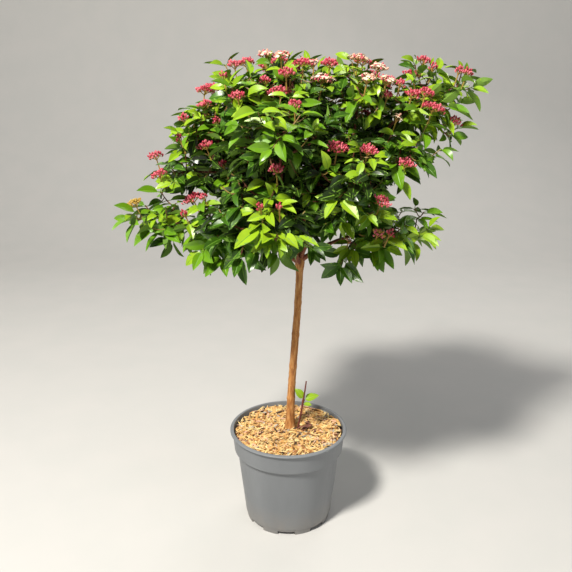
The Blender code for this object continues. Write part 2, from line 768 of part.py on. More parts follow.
def main():
    for old in list(bpy.data.objects):
        bpy.data.objects.remove(old)
    make_pot()
    make_compost()
    make_mulch()
    lines, radii, trees = make_limbs()
    for name in MASSES:
        make_mass(name, lines, radii, trees)
    make_shoot()


main()
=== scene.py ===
"""The looks of a standard laurustinus in a round nursery pot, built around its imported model.

Metres, +Z up, in the model's own frame. The trunk, the boughs and the masses of foliage follow the
same named sizes and the same seeded rule as the model's source. Here the rule goes on to finer
twigs, and each twig carries opposite pairs of leaves. What the photograph shows at a known place,
such as a flower head, is a twig's tip on the crown's surface behind that pixel.
"""

import json
import math
import random

import bmesh
import bpy
import numpy as np
from mathutils import Euler, Matrix, Vector, noise
from mathutils.bvhtree import BVHTree

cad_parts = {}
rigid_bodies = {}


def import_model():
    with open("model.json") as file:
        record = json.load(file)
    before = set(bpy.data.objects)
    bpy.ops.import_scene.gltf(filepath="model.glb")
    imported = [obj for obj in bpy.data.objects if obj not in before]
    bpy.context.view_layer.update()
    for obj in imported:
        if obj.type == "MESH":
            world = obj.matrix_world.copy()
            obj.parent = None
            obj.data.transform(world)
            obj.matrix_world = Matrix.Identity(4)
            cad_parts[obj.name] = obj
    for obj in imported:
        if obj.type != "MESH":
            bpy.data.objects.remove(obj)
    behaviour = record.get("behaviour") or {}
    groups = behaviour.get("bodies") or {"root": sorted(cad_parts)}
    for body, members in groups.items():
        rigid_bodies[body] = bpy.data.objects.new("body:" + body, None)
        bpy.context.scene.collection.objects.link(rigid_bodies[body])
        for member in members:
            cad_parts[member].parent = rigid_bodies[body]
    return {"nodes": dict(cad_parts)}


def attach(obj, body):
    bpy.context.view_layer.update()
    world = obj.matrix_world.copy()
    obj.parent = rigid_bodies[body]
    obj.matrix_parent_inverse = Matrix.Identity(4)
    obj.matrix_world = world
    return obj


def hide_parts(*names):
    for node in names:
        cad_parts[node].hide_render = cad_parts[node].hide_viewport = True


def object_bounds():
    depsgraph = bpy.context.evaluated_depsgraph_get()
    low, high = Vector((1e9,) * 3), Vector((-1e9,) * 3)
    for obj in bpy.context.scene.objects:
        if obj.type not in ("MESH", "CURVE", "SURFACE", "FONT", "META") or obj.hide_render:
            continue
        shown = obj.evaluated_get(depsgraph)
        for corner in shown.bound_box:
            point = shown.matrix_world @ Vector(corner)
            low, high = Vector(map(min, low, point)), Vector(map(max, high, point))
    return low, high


UP = Vector((0.0, 0.0, 1.0))
CLEAR = 0.0003
NEARLY_NONE = 1e-9
SHARP_ANGLE = math.radians(40)

# The camera, which stands where the photograph was taken from.
IMAGE_SIZE = 572
SENSOR = 36.0
LENS = 42.9
CAMERA_AT = Vector((-0.004, -1.0, 0.705))
PITCH = math.radians(17.05)

# ---- The sizes that the model's source drives. They stand here as they stand there.

POT_HEIGHT = 0.158
RIM_RADIUS = 0.095
LIP_HEIGHT = 0.003
LIP_ROUND = 0.001
COLLAR_TOP_RADIUS = 0.0912
COLLAR_FOOT_RADIUS = 0.0884
COLLAR_FOOT_HEIGHT = 0.124
SHOULDER_HEIGHT = 0.120
BODY_TOP_RADIUS = 0.0832
BODY_FOOT_RADIUS = 0.0712
FOOT_RADIUS = 0.0700
FOOT_SOLE_RADIUS = 0.0688
FOOT_HEIGHT = 0.0095
FOOT_STEP = 0.0008
WALL = 0.0018
FLOOR = 0.0085
CHANNELS = 8
CHANNEL_INNER_WIDTH = 0.015
CHANNEL_OUTER_WIDTH = 0.036
CHANNEL_HEIGHT = 0.0065
CHANNEL_START = 0.026
CHANNEL_TURN = math.radians(-93)
DRAIN_RADIUS = 0.0045
DRAIN_AT = 0.052

COMPOST_TOP = 0.132
MULCH_TOP = 0.147
MULCH_MOUND = 0.004
MULCH_LUMP = 0.0012
LUMP_WAVES = (95, 80)
FLAT_RADIUS = 0.015

TRUNK_FOOT = Vector((0.003, 0.010, 0.0))
TRUNK_TOP = Vector((0.017, 0.000, 0.452))
TRUNK_RADIUS = 0.0062
TRUNK_TOP_RADIUS = 0.0050
ROOT_FLARE = 0.0036
FLARE_HEIGHT = 0.016

LIMB_RINGS = 5
FIRST_LIMB_RADIUS = 0.0034
SIDE_LIMB_RADIUS = 0.0024
LIMB_TAPER = 0.55
LIMB_HEADING = 0.12
CURVE_STEPS = 80
CORNER_CUT = 0.25
SHORTEST_LIMB = 0.026
ENTRY_DEPTH = 0.80
ENTRY_MARGIN = 0.006

TWIG_SAG = 0.14
TWIG_SHORTEST = 0.020
STEM_BEND = 0.45
REACH_BACK = 0.35
FEWEST_TIPS = 5
BALL_VOLUME = 4.19
ROOM_PER_TIP = 1.7e-4
# The root of x^4 = x + 1, whose powers spread points evenly in three dimensions.
EVEN_BASE = 1.2207440846
TRIES_PER_TIP = 6
TIP_MARGIN = 0.004
BEND_MARGIN = 0.003

SHOOT_FOOT = Vector((0.015, 0.001, 0.0))
SHOOT_TIP = Vector((0.0285, -0.001, 0.239))
SHOOT_RADIUS = 0.0017
SHOOT_TAPER = 0.35
SHOOT_LEAVES = [(0.62, 185, 66, 0.024), (0.60, 8, 26, 0.028), (0.55, 330, 6, 0.016)]
SHOOT_LEAF_BROADER = 1.45

# Each mass: its centre, its half-sizes, the limb that its bough leaves and the share of that
# limb's length where it does, how far the bough arches, and its number of flower heads.
MASSES = {
    "left_tip": ((-0.190, -0.030, 0.512), (0.046, 0.040, 0.024), "left", 0.70, -0.05, 2),
    "left": ((-0.105, -0.055, 0.495), (0.042, 0.048, 0.034), "trunk", 0.945, 0.02, 2),
    "left_middle": ((-0.160, 0.012, 0.570), (0.034, 0.040, 0.020), "left_high", 0.62, -0.05, 2),
    "left_high": ((-0.128, 0.020, 0.636), (0.036, 0.050, 0.034), "trunk", 0.975, 0.05, 2),
    "top_left": ((-0.068, 0.000, 0.690), (0.042, 0.060, 0.026), "top", 0.45, 0.04, 3),
    "top": ((0.004, -0.006, 0.706), (0.044, 0.060, 0.026), "trunk", 1.0, 0.00, 3),
    "top_right": ((0.098, 0.000, 0.700), (0.050, 0.060, 0.026), "right_high", 0.46, 0.05, 4),
    "right_high": ((0.188, 0.000, 0.676), (0.060, 0.050, 0.038), "trunk", 0.985, 0.07, 4),
    "right_middle": ((0.160, -0.035, 0.605), (0.045, 0.042, 0.026), "right_high", 0.56, -0.04, 1),
    "right": ((0.140, -0.040, 0.494), (0.056, 0.050, 0.028), "trunk", 0.955, 0.04, 2),
    "front_high": ((-0.012, -0.120, 0.636), (0.060, 0.040, 0.040), "front", 0.50, 0.08, 2),
    "front": ((-0.030, -0.120, 0.524), (0.060, 0.042, 0.042), "trunk", 0.935, 0.06, 1),
    "front_right": ((0.080, -0.110, 0.572), (0.046, 0.042, 0.048), "trunk", 0.965, 0.08, 2),
    "back_left": ((-0.090, 0.115, 0.598), (0.058, 0.050, 0.058), "trunk", 0.970, 0.08, 2),
    "back_right": ((0.112, 0.115, 0.606), (0.064, 0.050, 0.060), "trunk", 0.980, 0.08, 2),
    "back": ((0.010, 0.130, 0.510), (0.070, 0.042, 0.040), "trunk", 0.940, 0.05, 1),
    "back_top": ((0.020, 0.090, 0.690), (0.050, 0.050, 0.028), "top", 0.60, 0.04, 3),
    "middle_left": ((-0.062, 0.030, 0.560), (0.044, 0.050, 0.052), "left_high", 0.20, 0.00, 0),
    "middle_right": ((0.082, 0.020, 0.570), (0.044, 0.050, 0.052), "top", 0.14, 0.00, 0),
}

# ---- What is finer here than in the source.

# Past the source's own twigs, a mass has this many times as many, from a slightly larger space.
FINER = 7.0
# How much wider than its ellipsoid a mass spreads them, and how far towards the crown's middle: an
# airy mass, one at the back, and a full one.
FINER_SPREADS = {"airy": (1.22, 0.12), "back": (1.42, 0.04), "full": (1.38, 0.22)}
FINER_SHORTEST = 0.013
# How many of the source's rounds of tries the finer twigs have.
FINER_TRIES = 14.0
# How full of finer twigs a mass is: less than 1 where it is airy, more where it is dense.
FULLNESS = {
    "left_tip": 0.15, "left": 0.42, "left_middle": 0.15, "right": 0.38, "right_high": 0.60,
    "right_middle": 0.60, "left_high": 0.90, "middle_left": 1.5, "middle_right": 1.9,
    "top_right": 1.35, "front_right": 1.2, "front_high": 1.1, "back_right": 1.2, "top": 1.2,
}
LINE_POINTS = 9
TWIG_JOINTS = (0.30, 0.575, 0.775)
FINER_JOINTS = (0.42, 0.68, 0.88)
STEM_END_JOINT = 0.99
TWIG_SIDES = 5
ROUGH_SIDES = 3
SHOOT_END_RADIUS = 0.00075
LOAD_POWER = 0.40
NODE_SWELL = 0.35
NODE_WIDTH = 0.0016
# The twigs to the seen spots are numbered from here on.
SPOT_INDEX = 1000
SPOT_INSET = 0.006
SPOT_REACH = 1.25
SPOT_SAGS = (0.14, 0.02, 0.24, -0.10)

# Leaves. A blade's proportions are shares of its length.
LEAF_LENGTH = 0.037
LEAF_SPREAD = (0.80, 1.12)
LEAF_WIDTH = 0.45
OUTLINE_BASE = 0.72
OUTLINE_TIP = 1.06
STATIONS = 7
UPPER_COLUMNS = (-1.0, -0.55, -0.16, 0.0, 0.16, 0.55, 1.0)
LOWER_COLUMNS = (-1.0, 0.0, 1.0)
CURL = (0.15, 0.95)
FOLD = (0.18, 0.62)
TWIST = (-0.35, 0.35)
EDGE_WAVE = 0.010
EDGE_WAVES = 1.6
# How soon the relief grows from a blade's two ends, per length.
END_EASE = 8.0
VEINS = 3.0
VEIN_SLANT = 0.9
VEIN_DEPTH = 0.004
UNDERSIDE_GAP = 0.010
RIB_STATIONS = 5
RIB_START = 0.02
RIB_END = 0.93
RIB_TAPER = 0.6
RIB_WIDTH = 0.020
RIB_HEIGHT = 0.009
LEAF_SHAPES = 14
PETIOLE = 0.14
PETIOLE_RADIUS = 0.0007
PETIOLE_TAPER = 0.7
PETIOLE_SINK = 0.04
# A leaf's rough outline: where it starts and is widest, and how wide its half is beside the blade.
KITE_START = 0.12
KITE_MIDDLE = 0.45
KITE_HALF = 0.40
LEAF_MARGIN = -0.012
LEAF_SKYWARD = 0.8
LEAF_OUTWARD = 0.7
LEAF_RISE = (0.02, 0.60)
TIP_LIFT = 0.5
LOW_DROOP = 0.40
LOW_LONGER = 0.22
LOWEST_LEAF = 0.436
LEAF_TRIES = 5
ANGLE_SCATTER = 9
TURN_SCATTER = 0.35
TURN_ASIDE = 0.45
SHORTEN = 0.05
CROWD_CELL = 0.05
# Each row of leaves: its set-back from the twig's tip, its angle to the twig in degrees, its droop,
# its length beside the mean, and its number of leaves.
LEAF_ROWS = (
    (0.0000, 16, 0.10, 0.62, 1),
    (0.0030, 42, 0.20, 0.88, 2),
    (0.0150, 60, 0.32, 1.02, 2),
    (0.0310, 76, 0.44, 1.00, 2),
    (0.0480, 84, 0.50, 0.92, 2),
)

# Flower heads.
STALK_LENGTH = 0.016
HEAD_RADIUS = 0.0160
HEAD_SPREAD = (0.65, 1.05)
HEAD_RISE = 0.0085
HEAD_DOME = 0.0050
HEAD_LOBES = 5
HEAD_NOTCH = 0.24
HEAD_ROUGH = 0.0020
HEAD_OUTSET = 0.012
HEAD_LEAN = 0.4
BUDS = 58
BUDS_POWER = 1.5
FEWEST_BUDS = 7
BUD_LENGTH = 0.0050
BUD_RADIUS = 0.00150
BUD_SIDES = 5
# The rings of a bud: how far along it each is, and how wide.
BUD_RINGS = ((0.25, 0.62), (0.60, 1.0), (0.88, 0.62))
BUD_LENGTHS = (0.75, 1.15)
BUD_WIDTHS = (0.85, 1.2)
BUD_OUTWARD = 0.5
BUD_SCATTER = 0.25
PETALS = 5
PETAL_LENGTH = 0.0030
# A petal's corners beside its length: outwards, sideways and upwards.
PETAL_OUTLINE = ((0.25, 0.22, 0.0), (0.25, -0.22, 0.0), (0.80, -0.48, 0.25), (1.15, 0.0, 0.12),
                 (0.80, 0.48, 0.25))
THROAT = 0.6
# The radii and sides of a head's stalk, of its rays and of each bud's own stalk.
STALK_RADII = (0.0011, 0.0009, 0.0010)
STALK_SIDES = 5
RAY_RADII = (0.0008, 0.0006)
RAY_SIDES = 4
PEDICEL_RADII = (0.00042, 0.00034)
# How far out and up a head's rays end, and how far up its middle one does.
RAY_REACH = 0.55
MIDDLE_RAY_RISE = 0.6
GOLDEN_TURN = math.pi * (3 - math.sqrt(5))
# What the photograph shows is kept in view: steps towards the camera that no more leaves cross, and
# for a head the rings round that way, beside its own radius.
VIEW_STEP = 0.035
VIEW_STEPS = 4
VIEW_START = 0.3
VIEW_RINGS = (0.4, 1.0)
VIEW_SIDES = 5
# Leaves spread this many degrees more under a head.
BLOOM_SPREAD = 22
OPEN_SHARE = 0.42
BLOOM_OUTWARD = 0.5
# Heads that the photograph doesn't show stand behind this and no higher than this.
HIDDEN_BEHIND = 0.02
HIDDEN_TOP = 0.712
# The parts that a head of each kind deals its buds to.
HEAD_KINDS = {"red": ("crimson", "rose"), "pale": ("rose", "blush"), "spent": ("ochre", "rose"),
              "dry": ("ochre", "ochre")}

# Where the photograph shows flower heads, in its pixels: each one's kind, and its size beside one
# that is twenty pixels wide.
SEEN_HEADS = (
    (265, 53, "pale", 0.60), (281, 54, "pale", 0.75), (234, 63, "red", 0.55),
    (223, 75, "red", 0.35), (237, 94, "red", 0.65), (265, 79, "red", 0.50), (286, 71, "red", 0.70),
    (280, 90, "red", 1.15), (295, 103, "red", 0.50), (205, 103, "red", 0.60),
    (183, 117, "red", 0.42), (216, 120, "red", 0.35), (179, 137, "red", 0.30),
    (205, 144, "red", 0.68), (222, 163, "red", 0.40), (276, 168, "red", 0.58),
    (158, 173, "red", 0.75), (192, 197, "red", 1.00), (203, 196, "red", 0.32),
    (134, 202, "dry", 0.60), (184, 213, "red", 0.30), (260, 206, "red", 0.26),
    (279, 206, "red", 0.26), (303, 61, "red", 0.75), (314, 61, "pale", 0.40),
    (330, 62, "red", 0.80), (322, 77, "pale", 1.00), (359, 57, "pale", 0.90),
    (379, 66, "pale", 0.75), (368, 77, "pale", 0.65), (387, 79, "pale", 0.65),
    (401, 82, "red", 0.36), (388, 94, "red", 0.36), (424, 59, "red", 0.62), (434, 66, "red", 0.32),
    (413, 93, "red", 0.62), (427, 91, "red", 0.72), (434, 106, "red", 1.00),
    (456, 120, "red", 0.58), (460, 69, "red", 0.36), (468, 71, "red", 0.46),
    (336, 112, "pale", 1.00), (366, 113, "red", 0.55), (355, 113, "red", 0.30),
    (398, 116, "pale", 0.36), (338, 146, "red", 0.90), (369, 149, "red", 0.80),
    (407, 162, "red", 0.70), (382, 200, "red", 0.78), (379, 232, "spent", 0.55),
    (391, 232, "red", 0.34), (350, 239, "pale", 0.22),
)
# Where it shows single leaves: the pixels of each one's base and tip, and its tone, light and shade
# painted in.
SEEN_LEAVES = (
    (225, 65, 209, 64, "bright"), (227, 84, 208, 77, "bright"), (233, 88, 211, 81, "mid"),
    (180, 133, 163, 128, "bright"), (184, 148, 168, 137, "mid"), (184, 150, 168, 163, "bright"),
    (193, 162, 177, 163, "mid"), (201, 118, 186, 112, "young"), (216, 116, 223, 101, "young"),
    (212, 127, 197, 131, "mid"), (240, 125, 224, 136, "mid"), (273, 116, 287, 131, "young"),
    (258, 112, 232, 122, "bright"), (273, 148, 260, 163, "mid"), (290, 97, 305, 98, "bright"),
    (272, 64, 255, 63, "mid"), (284, 70, 294, 60, "young"), (352, 62, 335, 55, "bright"),
    (317, 89, 303, 74, "mid"), (321, 96, 340, 97, "bright"), (346, 67, 333, 74, "bright"),
    (374, 83, 378, 98, "young"), (341, 126, 361, 129, "bright"), (342, 125, 324, 133, "bright"),
    (371, 131, 363, 138, "bright"), (398, 134, 413, 144, "bright"), (396, 157, 373, 158, "young"),
    (360, 150, 346, 145, "bright"), (328, 172, 320, 150, "young"), (415, 65, 400, 58, "bright"),
    (418, 67, 413, 55, "mid"), (418, 72, 397, 66, "dark"), (470, 88, 489, 94, "bright"),
    (447, 107, 470, 114, "mid"), (457, 128, 478, 126, "bright"), (462, 71, 458, 60, "bright"),
    (466, 76, 467, 62, "mid"), (441, 149, 453, 162, "mid"), (431, 68, 434, 57, "bright"),
    (436, 72, 450, 82, "bright"), (161, 192, 136, 191, "mid"), (166, 193, 184, 191, "mid"),
    (137, 213, 113, 206, "mid"), (152, 228, 134, 247, "mid"), (172, 240, 149, 248, "dark"),
    (182, 217, 161, 226, "bright"), (188, 222, 193, 240, "bright"), (202, 206, 222, 204, "bright"),
    (201, 209, 187, 217, "bright"), (203, 250, 193, 271, "mid"), (223, 255, 205, 278, "mid"),
    (241, 255, 234, 278, "dark"), (262, 227, 234, 250, "young"), (258, 210, 242, 199, "young"),
    (279, 206, 298, 202, "young"), (271, 198, 264, 182, "bright"), (269, 213, 271, 199, "young"),
    (276, 232, 299, 251, "young"), (268, 240, 267, 259, "bright"), (268, 181, 246, 192, "bright"),
    (228, 180, 211, 190, "mid"), (240, 206, 229, 231, "dark"), (223, 238, 203, 250, "dark"),
    (257, 248, 249, 274, "dark"), (277, 252, 268, 270, "mid"), (338, 198, 359, 220, "young"),
    (341, 220, 354, 241, "bright"), (354, 242, 371, 240, "young"), (352, 247, 356, 269, "young"),
    (352, 251, 338, 263, "bright"), (340, 265, 352, 284, "dark"), (367, 213, 378, 227, "bright"),
    (384, 228, 402, 229, "bright"), (385, 240, 408, 252, "young"), (384, 244, 369, 246, "bright"),
    (420, 235, 439, 247, "young"), (405, 227, 419, 236, "bright"), (428, 229, 441, 217, "young"),
    (417, 218, 428, 230, "mid"), (371, 249, 378, 272, "mid"), (417, 161, 437, 180, "dark"),
    (402, 172, 421, 186, "dark"), (394, 162, 402, 191, "mid"), (310, 193, 323, 173, "mid"),
    (303, 190, 288, 187, "bright"), (313, 195, 303, 209, "bright"), (424, 212, 443, 213, "mid"),
    (415, 208, 414, 198, "mid"), (401, 241, 416, 256, "dark"), (363, 160, 358, 178, "bright"),
    (371, 157, 374, 171, "bright"), (310, 247, 326, 262, "dark"), (292, 236, 303, 248, "mid"),
)
# A seen leaf is this much longer than it shows, and at least so long.
SEEN_TURNED = 1.12
SEEN_SHORTEST = 0.026
SEEN_FACING = 0.9
SEEN_DEPTHS = (1.0, 0.6, 0.2, -0.2, -0.6, 1.6, -1.1)
SHARED_TIP = 0.008

# Painted light and shade: a spray's leaf tone follows how far out and how high in the crown it
# grows.
CROWN_MIDDLE = Vector((0.010, 0.010, 0.585))
CROWN_REACH = Vector((0.175, 0.215, 0.150))
TONES = ("deep", "dark", "mid", "bright", "young")
TONE_LIMITS = (0.55, 0.77, 1.02, 1.30)
TONE_SCATTER = 0.27
# Painted light higher in the crown, and painted shade round its middle height.
PAINTED_TOP_LIGHT = 0.24
PAINTED_MIDDLE_SHADE = 0.22
# From this tone on, this share of the leaves in a twig's first rows is a tone brighter.
TIP_BRIGHTER = 0.40
TIP_ROWS = 2
TIP_TONE = 2

# Bark.
TRUNK_SIDES = 44
TRUNK_RINGS = 260
FORK_HEIGHT = 0.436
FORK_SWELL = 0.0022
FORK_WIDTH = 0.011
TRUNK_JOINTS = (0.205, 0.262, 0.318, 0.371)
TRUNK_JOINT_SWELL = 0.0006
TRUNK_JOINT_WIDTH = 0.0035
TRUNK_END = 0.014
CAP_RADIUS = 0.9 * FIRST_LIMB_RADIUS
FISSURE_DEPTH = 0.00028
FISSURE_AROUND = 780
FISSURE_ALONG = 95
KNOT_DEPTH = 0.00035
KNOT_SCALE = 170
LIMB_SIDES = 18
# The trunk's rings and a limb's sides where twigs and leaves are kept clear of them.
ROUGH_RINGS = 10
ROUGH_LIMB_SIDES = 6
RING_GAP = 0.0016
COLLAR_SWELL = 0.45
COLLAR_LENGTH = 0.010
LENTICELS_PER_METRE = 620
LENTICEL_LENGTH = 0.0011
LENTICEL_SIZES = (0.5, 1.0)
LENTICEL_BROADER = 1.3
LENTICEL_SIDES = 6
LENTICEL_RAISE = 0.00030
LENTICEL_SINK = 0.0001

# The pot's finer mesh.
POT_SIDES = 144
POT_ROUND = 0.0007
LIP_DROP = 0.0004
LIP_SLOPE = 0.0030
ROUND_STEPS = 4
MOST_ROUND = 0.45
POST_SIDES = 20
POST_LENGTH = 4 * FLOOR

# The mulch: a bed of fine dark crumbs and the chips and shreds of wood on it.
BED_RINGS = 60
BED_SIDES = 150
CRUMB_SCALE = 420
CRUMB_HEIGHT = 0.0016
BED_DROP = 0.0022
CHIPS = 2500
CHIP_LENGTH = (0.007, 0.024)
CHIP_WIDTH = (0.0015, 0.0056)
CHIP_THICKNESS = (0.0004, 0.0010)
CHIP_TILT = 0.42
CHIP_BEND = 0.10
CHIP_LAYERS = 0.0044
CHIP_RISE = 0.0014
CHIP_GAP = 0.0012
CHIP_MIDDLE = 0.1
CHIP_NARROWING = (0.5, 1.5)
CHIP_RAGGED = 0.12
CHIP_BROKEN = (0.6, 1.0)
CHIP_STAND = 0.3
STRAW_WIDTH = 0.6
FLARE_SHOWN = 0.7
EDGE_PILE = 0.0045
EDGE_POWER = 6
CHIP_SHARES = {"straw": 44, "tan": 29, "brown": 12, "pink": 8, "grey": 4, "dark": 3}
LITTER = ((0.031, -0.004), (0.038, 0.006), (0.026, 0.012), (0.044, -0.006), (0.036, 0.018))
LITTER_LENGTH = 0.019
LITTER_SIZES = (0.8, 1.3)
LITTER_RISE = 0.0075
LITTER_TILT = 0.4

# The shoot at the trunk's foot.
SHOOT_POINTS = 24
SHOOT_SIDES = 10
SHOOT_BEND = Vector((0.0015, 0.0, 0.0))
SHOOT_NODE_SWELL = 0.0005
SHOOT_NODE_WIDTH = 0.03
SHOOT_FACING = Vector((0, 0.5, 0))
SHOOT_SHAPES = 4


# ---------------------------------------------------------------- pieces

class Gather:
    """Points and faces gathered into one mesh."""

    def __init__(self):
        self.points = []
        self.faces = []
        self.count = 0

    def add(self, points, faces):
        """Adds one shape's points and faces."""
        first = self.count
        self.points.append(np.asarray([tuple(p) for p in points]))
        self.faces += [tuple(first + i for i in face) for face in faces]
        self.count += len(points)

    def piece(self, name, look, slot, replaced=(), smooth=True):
        """The gathered mesh as a piece of the scene that stands for the replaced nodes."""
        mesh = bpy.data.meshes.new(name)
        mesh.from_pydata(np.concatenate(self.points).tolist(), [], self.faces)
        mesh.update()
        made = bpy.data.objects.new(name, mesh)
        bpy.context.scene.collection.objects.link(made)
        return settle(made, look, replaced, smooth)


def settle(made, look, replaced=(), smooth=True):
    """Gives a piece its material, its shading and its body."""
    made.data.materials.clear()
    made.data.materials.append(look)
    if smooth:
        made.data.shade_smooth()
        made.data.set_sharp_from_angle(angle=SHARP_ANGLE)
    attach(made, "root")
    if replaced:
        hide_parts(*replaced)
    return made


def colour(hexadecimal):
    """A colour written as a web colour, in linear light."""
    parts = [int(hexadecimal[i : i + 2], 16) / 255 for i in (0, 2, 4)]
    linear = [p / 12.92 if p <= 0.04045 else ((p + 0.055) / 1.055) ** 2.4 for p in parts]
    return (*linear, 1.0)


# ---------------------------------------------------------------- lines and tubes

def arc_between(start, control, end, count):
    """Points along a quadratic curve, both ends included."""
    shares = [i / (count - 1) for i in range(count)]
    return [start * (1 - t) ** 2 + control * 2 * t * (1 - t) + end * t ** 2 for t in shares]


def along(points, share):
    """The point at a share of a line's number of steps, and its direction there."""
    place = min(max(share, 0.0), 1.0) * (len(points) - 1)
    i = min(int(place), len(points) - 2)
    step = points[i + 1] - points[i]
    return points[i] + step * (place - i), step.normalized()


def line_length(points):
    """The length of a line."""
    return sum((after - before).length for before, after in zip(points, points[1:]))


def frames_of(points):
    """At each point of a line, its direction and two more at right angles, without sudden turns."""
    frames = []
    side = (points[1] - points[0]).normalized().orthogonal().normalized()
    for i in range(len(points)):
        before, after = points[max(i - 1, 0)], points[min(i + 1, len(points) - 1)]
        tangent = (after - before).normalized()
        side = (side - tangent * side.dot(tangent)).normalized()
        frames.append((tangent, side, tangent.cross(side)))
    return frames


def turns_of(count):
    """Even turns round a circle."""
    return [math.tau * k / count for k in range(count)]


def around(side, other, turn):
    """The direction at a turn from one side towards the other."""
    return side * math.cos(turn) + other * math.sin(turn)


def sides_of(heading):
    """Two directions at right angles to a heading and to each other."""
    side = heading.orthogonal().normalized()
    return side, heading.cross(side)


def band(low, high, count):
    """The faces between two rings of points, given each ring's first point."""
    pairs = [(k, (k + 1) % count) for k in range(count)]
    return [(low + k, low + after, high + after, high + k) for k, after in pairs]


def tube(points, radii, sides, relief=None):
    """The points and faces of a closed tube along a line. Relief adds to the radius by place."""
    corners, faces = [], []
    for (_, side, other), point, radius in zip(frames_of(points), points, radii):
        for turn in turns_of(sides):
            out = around(side, other, turn)
            spot = point + out * radius
            corners.append(spot + out * relief(spot) if relief else spot)
    for i in range(len(points) - 1):
        faces += band(i * sides, (i + 1) * sides, sides)
    faces.append(tuple(range(sides))[::-1])
    faces.append(tuple(range((len(points) - 1) * sides, len(points) * sides)))
    return corners, faces


def tree_of(shape):
    """What tells whether another shape crosses this one."""
    points, faces = shape
    return BVHTree.FromPolygons(points, faces)


# ---------------------------------------------------------------- trunk, boughs and cells

def trunk_line(count):
    """The trunk's middle line: upright at both ends, with a shallow double bend to the right."""
    foot = TRUNK_FOOT + UP * (MULCH_TOP + MULCH_MOUND + CLEAR)
    points = []
    for i in range(count):
        t = i / (count - 1)
        bend = t * t * (3 - 2 * t)
        across = foot.lerp(TRUNK_TOP, bend)
        points.append(Vector((across.x, across.y, foot.z + (TRUNK_TOP.z - foot.z) * t)))
    return points


def in_cell(point, name, margin):
    """True if a point is in the mass's own cell, that far clear of the planes between masses."""
    centre, sizes = Vector(MASSES[name][0]), MASSES[name][1]
    here = (point - centre).length_squared - (sum(sizes) / 3) ** 2
    for other, row in MASSES.items():
        if other == name:
            continue
        middle = Vector(row[0])
        there = (point - middle).length_squared - (sum(row[1]) / 3) ** 2
        if there - here < 2 * margin * (middle - centre).length:
            return False
    return True


def owner(point):
    """The mass whose cell a point is in."""

    def distance(name):
        """How far a mass is, less its own size, as in_cell weighs it."""
        centre, sizes = MASSES[name][:2]
        return (point - Vector(centre)).length_squared - (sum(sizes) / 3) ** 2

    return min(MASSES, key=distance)


def depth_in(point, name):
    """How far out a point lies in the mass's ellipsoid: 0 at its centre and 1 on its surface."""
    centre, sizes = MASSES[name][:2]
    return math.sqrt(sum(((p - c) / s) ** 2 for p, c, s in zip(point, centre, sizes)))


def limb_line(name, lines):
    """A bough's middle line, from the limb that it leaves to where it enters its mass."""
    centre, _, parent, share, rise, _ = MASSES[name]
    start, heading = along(lines[parent], share)
    if share == 1.0:
        start = start + heading * CLEAR
    end = Vector(centre)
    reach = (end - start).length
    control = start.lerp(end, 0.5) + (UP * rise + heading * LIMB_HEADING) * reach
    whole = arc_between(start, control, end, CURVE_STEPS + 1)
    for i, point in enumerate(whole):
        free = (point - start).length > SHORTEST_LIMB
        if free and depth_in(point, name) < ENTRY_DEPTH and in_cell(point, name, ENTRY_MARGIN):
            break
    entry = i / CURVE_STEPS
    return [along(whole, entry * k / LIMB_RINGS)[0] for k in range(LIMB_RINGS + 1)]


def limb_lines():
    """The middle lines of the trunk and of all the boughs."""
    lines = {"trunk": trunk_line(TRUNK_RINGS)}
    order = sorted(MASSES, key=lambda name: (MASSES[name][2] != "trunk", MASSES[name][3] < 1.0))
    for name in order:
        lines[name] = limb_line(name, lines)
    return lines


def smoothed(points, rounds=2):
    """A line with its corners cut and its ends kept."""
    for _ in range(rounds):
        cut = [points[0]]
        for before, after in zip(points, points[1:]):
            cut += [before.lerp(after, CORNER_CUT), before.lerp(after, 1 - CORNER_CUT)]
        points = cut + [points[-1]]
    return points


def evened(points, gap):
    """Points at even gaps along a line."""
    steps = [0.0]
    for before, after in zip(points, points[1:]):
        steps.append(steps[-1] + (after - before).length)
    count = max(3, round(steps[-1] / gap))
    spots, i = [], 0
    for k in range(count + 1):
        at = steps[-1] * k / count
        while i < len(steps) - 2 and steps[i + 1] < at:
            i += 1
        share = (at - steps[i]) / max(steps[i + 1] - steps[i], NEARLY_NONE)
        spots.append(points[i].lerp(points[i + 1], min(share, 1.0)))
    return spots


# ---------------------------------------------------------------- twigs

class Twig:
    """A bent twig: its smooth line from root to tip, its parent, and what it carries."""

    def __init__(self, root, bend, tip, index, parent=None, shown=None):
        whole = smoothed([root, bend, tip])
        self.line = [along(whole, i / (LINE_POINTS - 1))[0] for i in range(LINE_POINTS)]
        self.index = index
        self.parent = parent
        self.shown = shown
        self.load = 1
        self.root_radius = SHOOT_END_RADIUS

    def joint(self, share, run):
        """A point of the twig, with the length of wood from there back to the bough."""
        return along(self.line, share)[0], run + line_length(self.line) * share, self

    def tip(self):
        """The twig's end and its direction there."""
        return self.line[-1], (self.line[-1] - self.line[-3]).normalized()


def even_point(index, offset):
    """A point of an evenly spread, endless sequence in the unit cube."""
    return [(offset + (index + 1) / EVEN_BASE ** (k + 1)) % 1.0 for k in range(3)]


def tip_count(name):
    """How many twigs the source gives a mass: more in a larger one."""
    sizes = MASSES[name][1]
    return FEWEST_TIPS + round(BALL_VOLUME * sizes[0] * sizes[1] * sizes[2] / ROOM_PER_TIP)


def tip_spot(name, index, offset, space=1.0, inward=0.0):
    """Where one twig of a mass tries to end: an even spread through its ellipsoid.

    The finer twigs spread through a larger one, a little nearer to the crown's middle.
    """
    u, v, w = even_point(index, offset)
    centre, sizes = Vector(MASSES[name][0]).lerp(CROWN_MIDDLE, inward), MASSES[name][1]
    radius, height, turn = u ** (1 / 3) * space, 2 * v - 1, 2 * math.pi * w
    flat = math.sqrt(1 - height * height)
    spot = Vector((flat * math.cos(turn), flat * math.sin(turn), height)) * radius
    return Vector(c + s * x for c, s, x in zip(centre, sizes, spot))


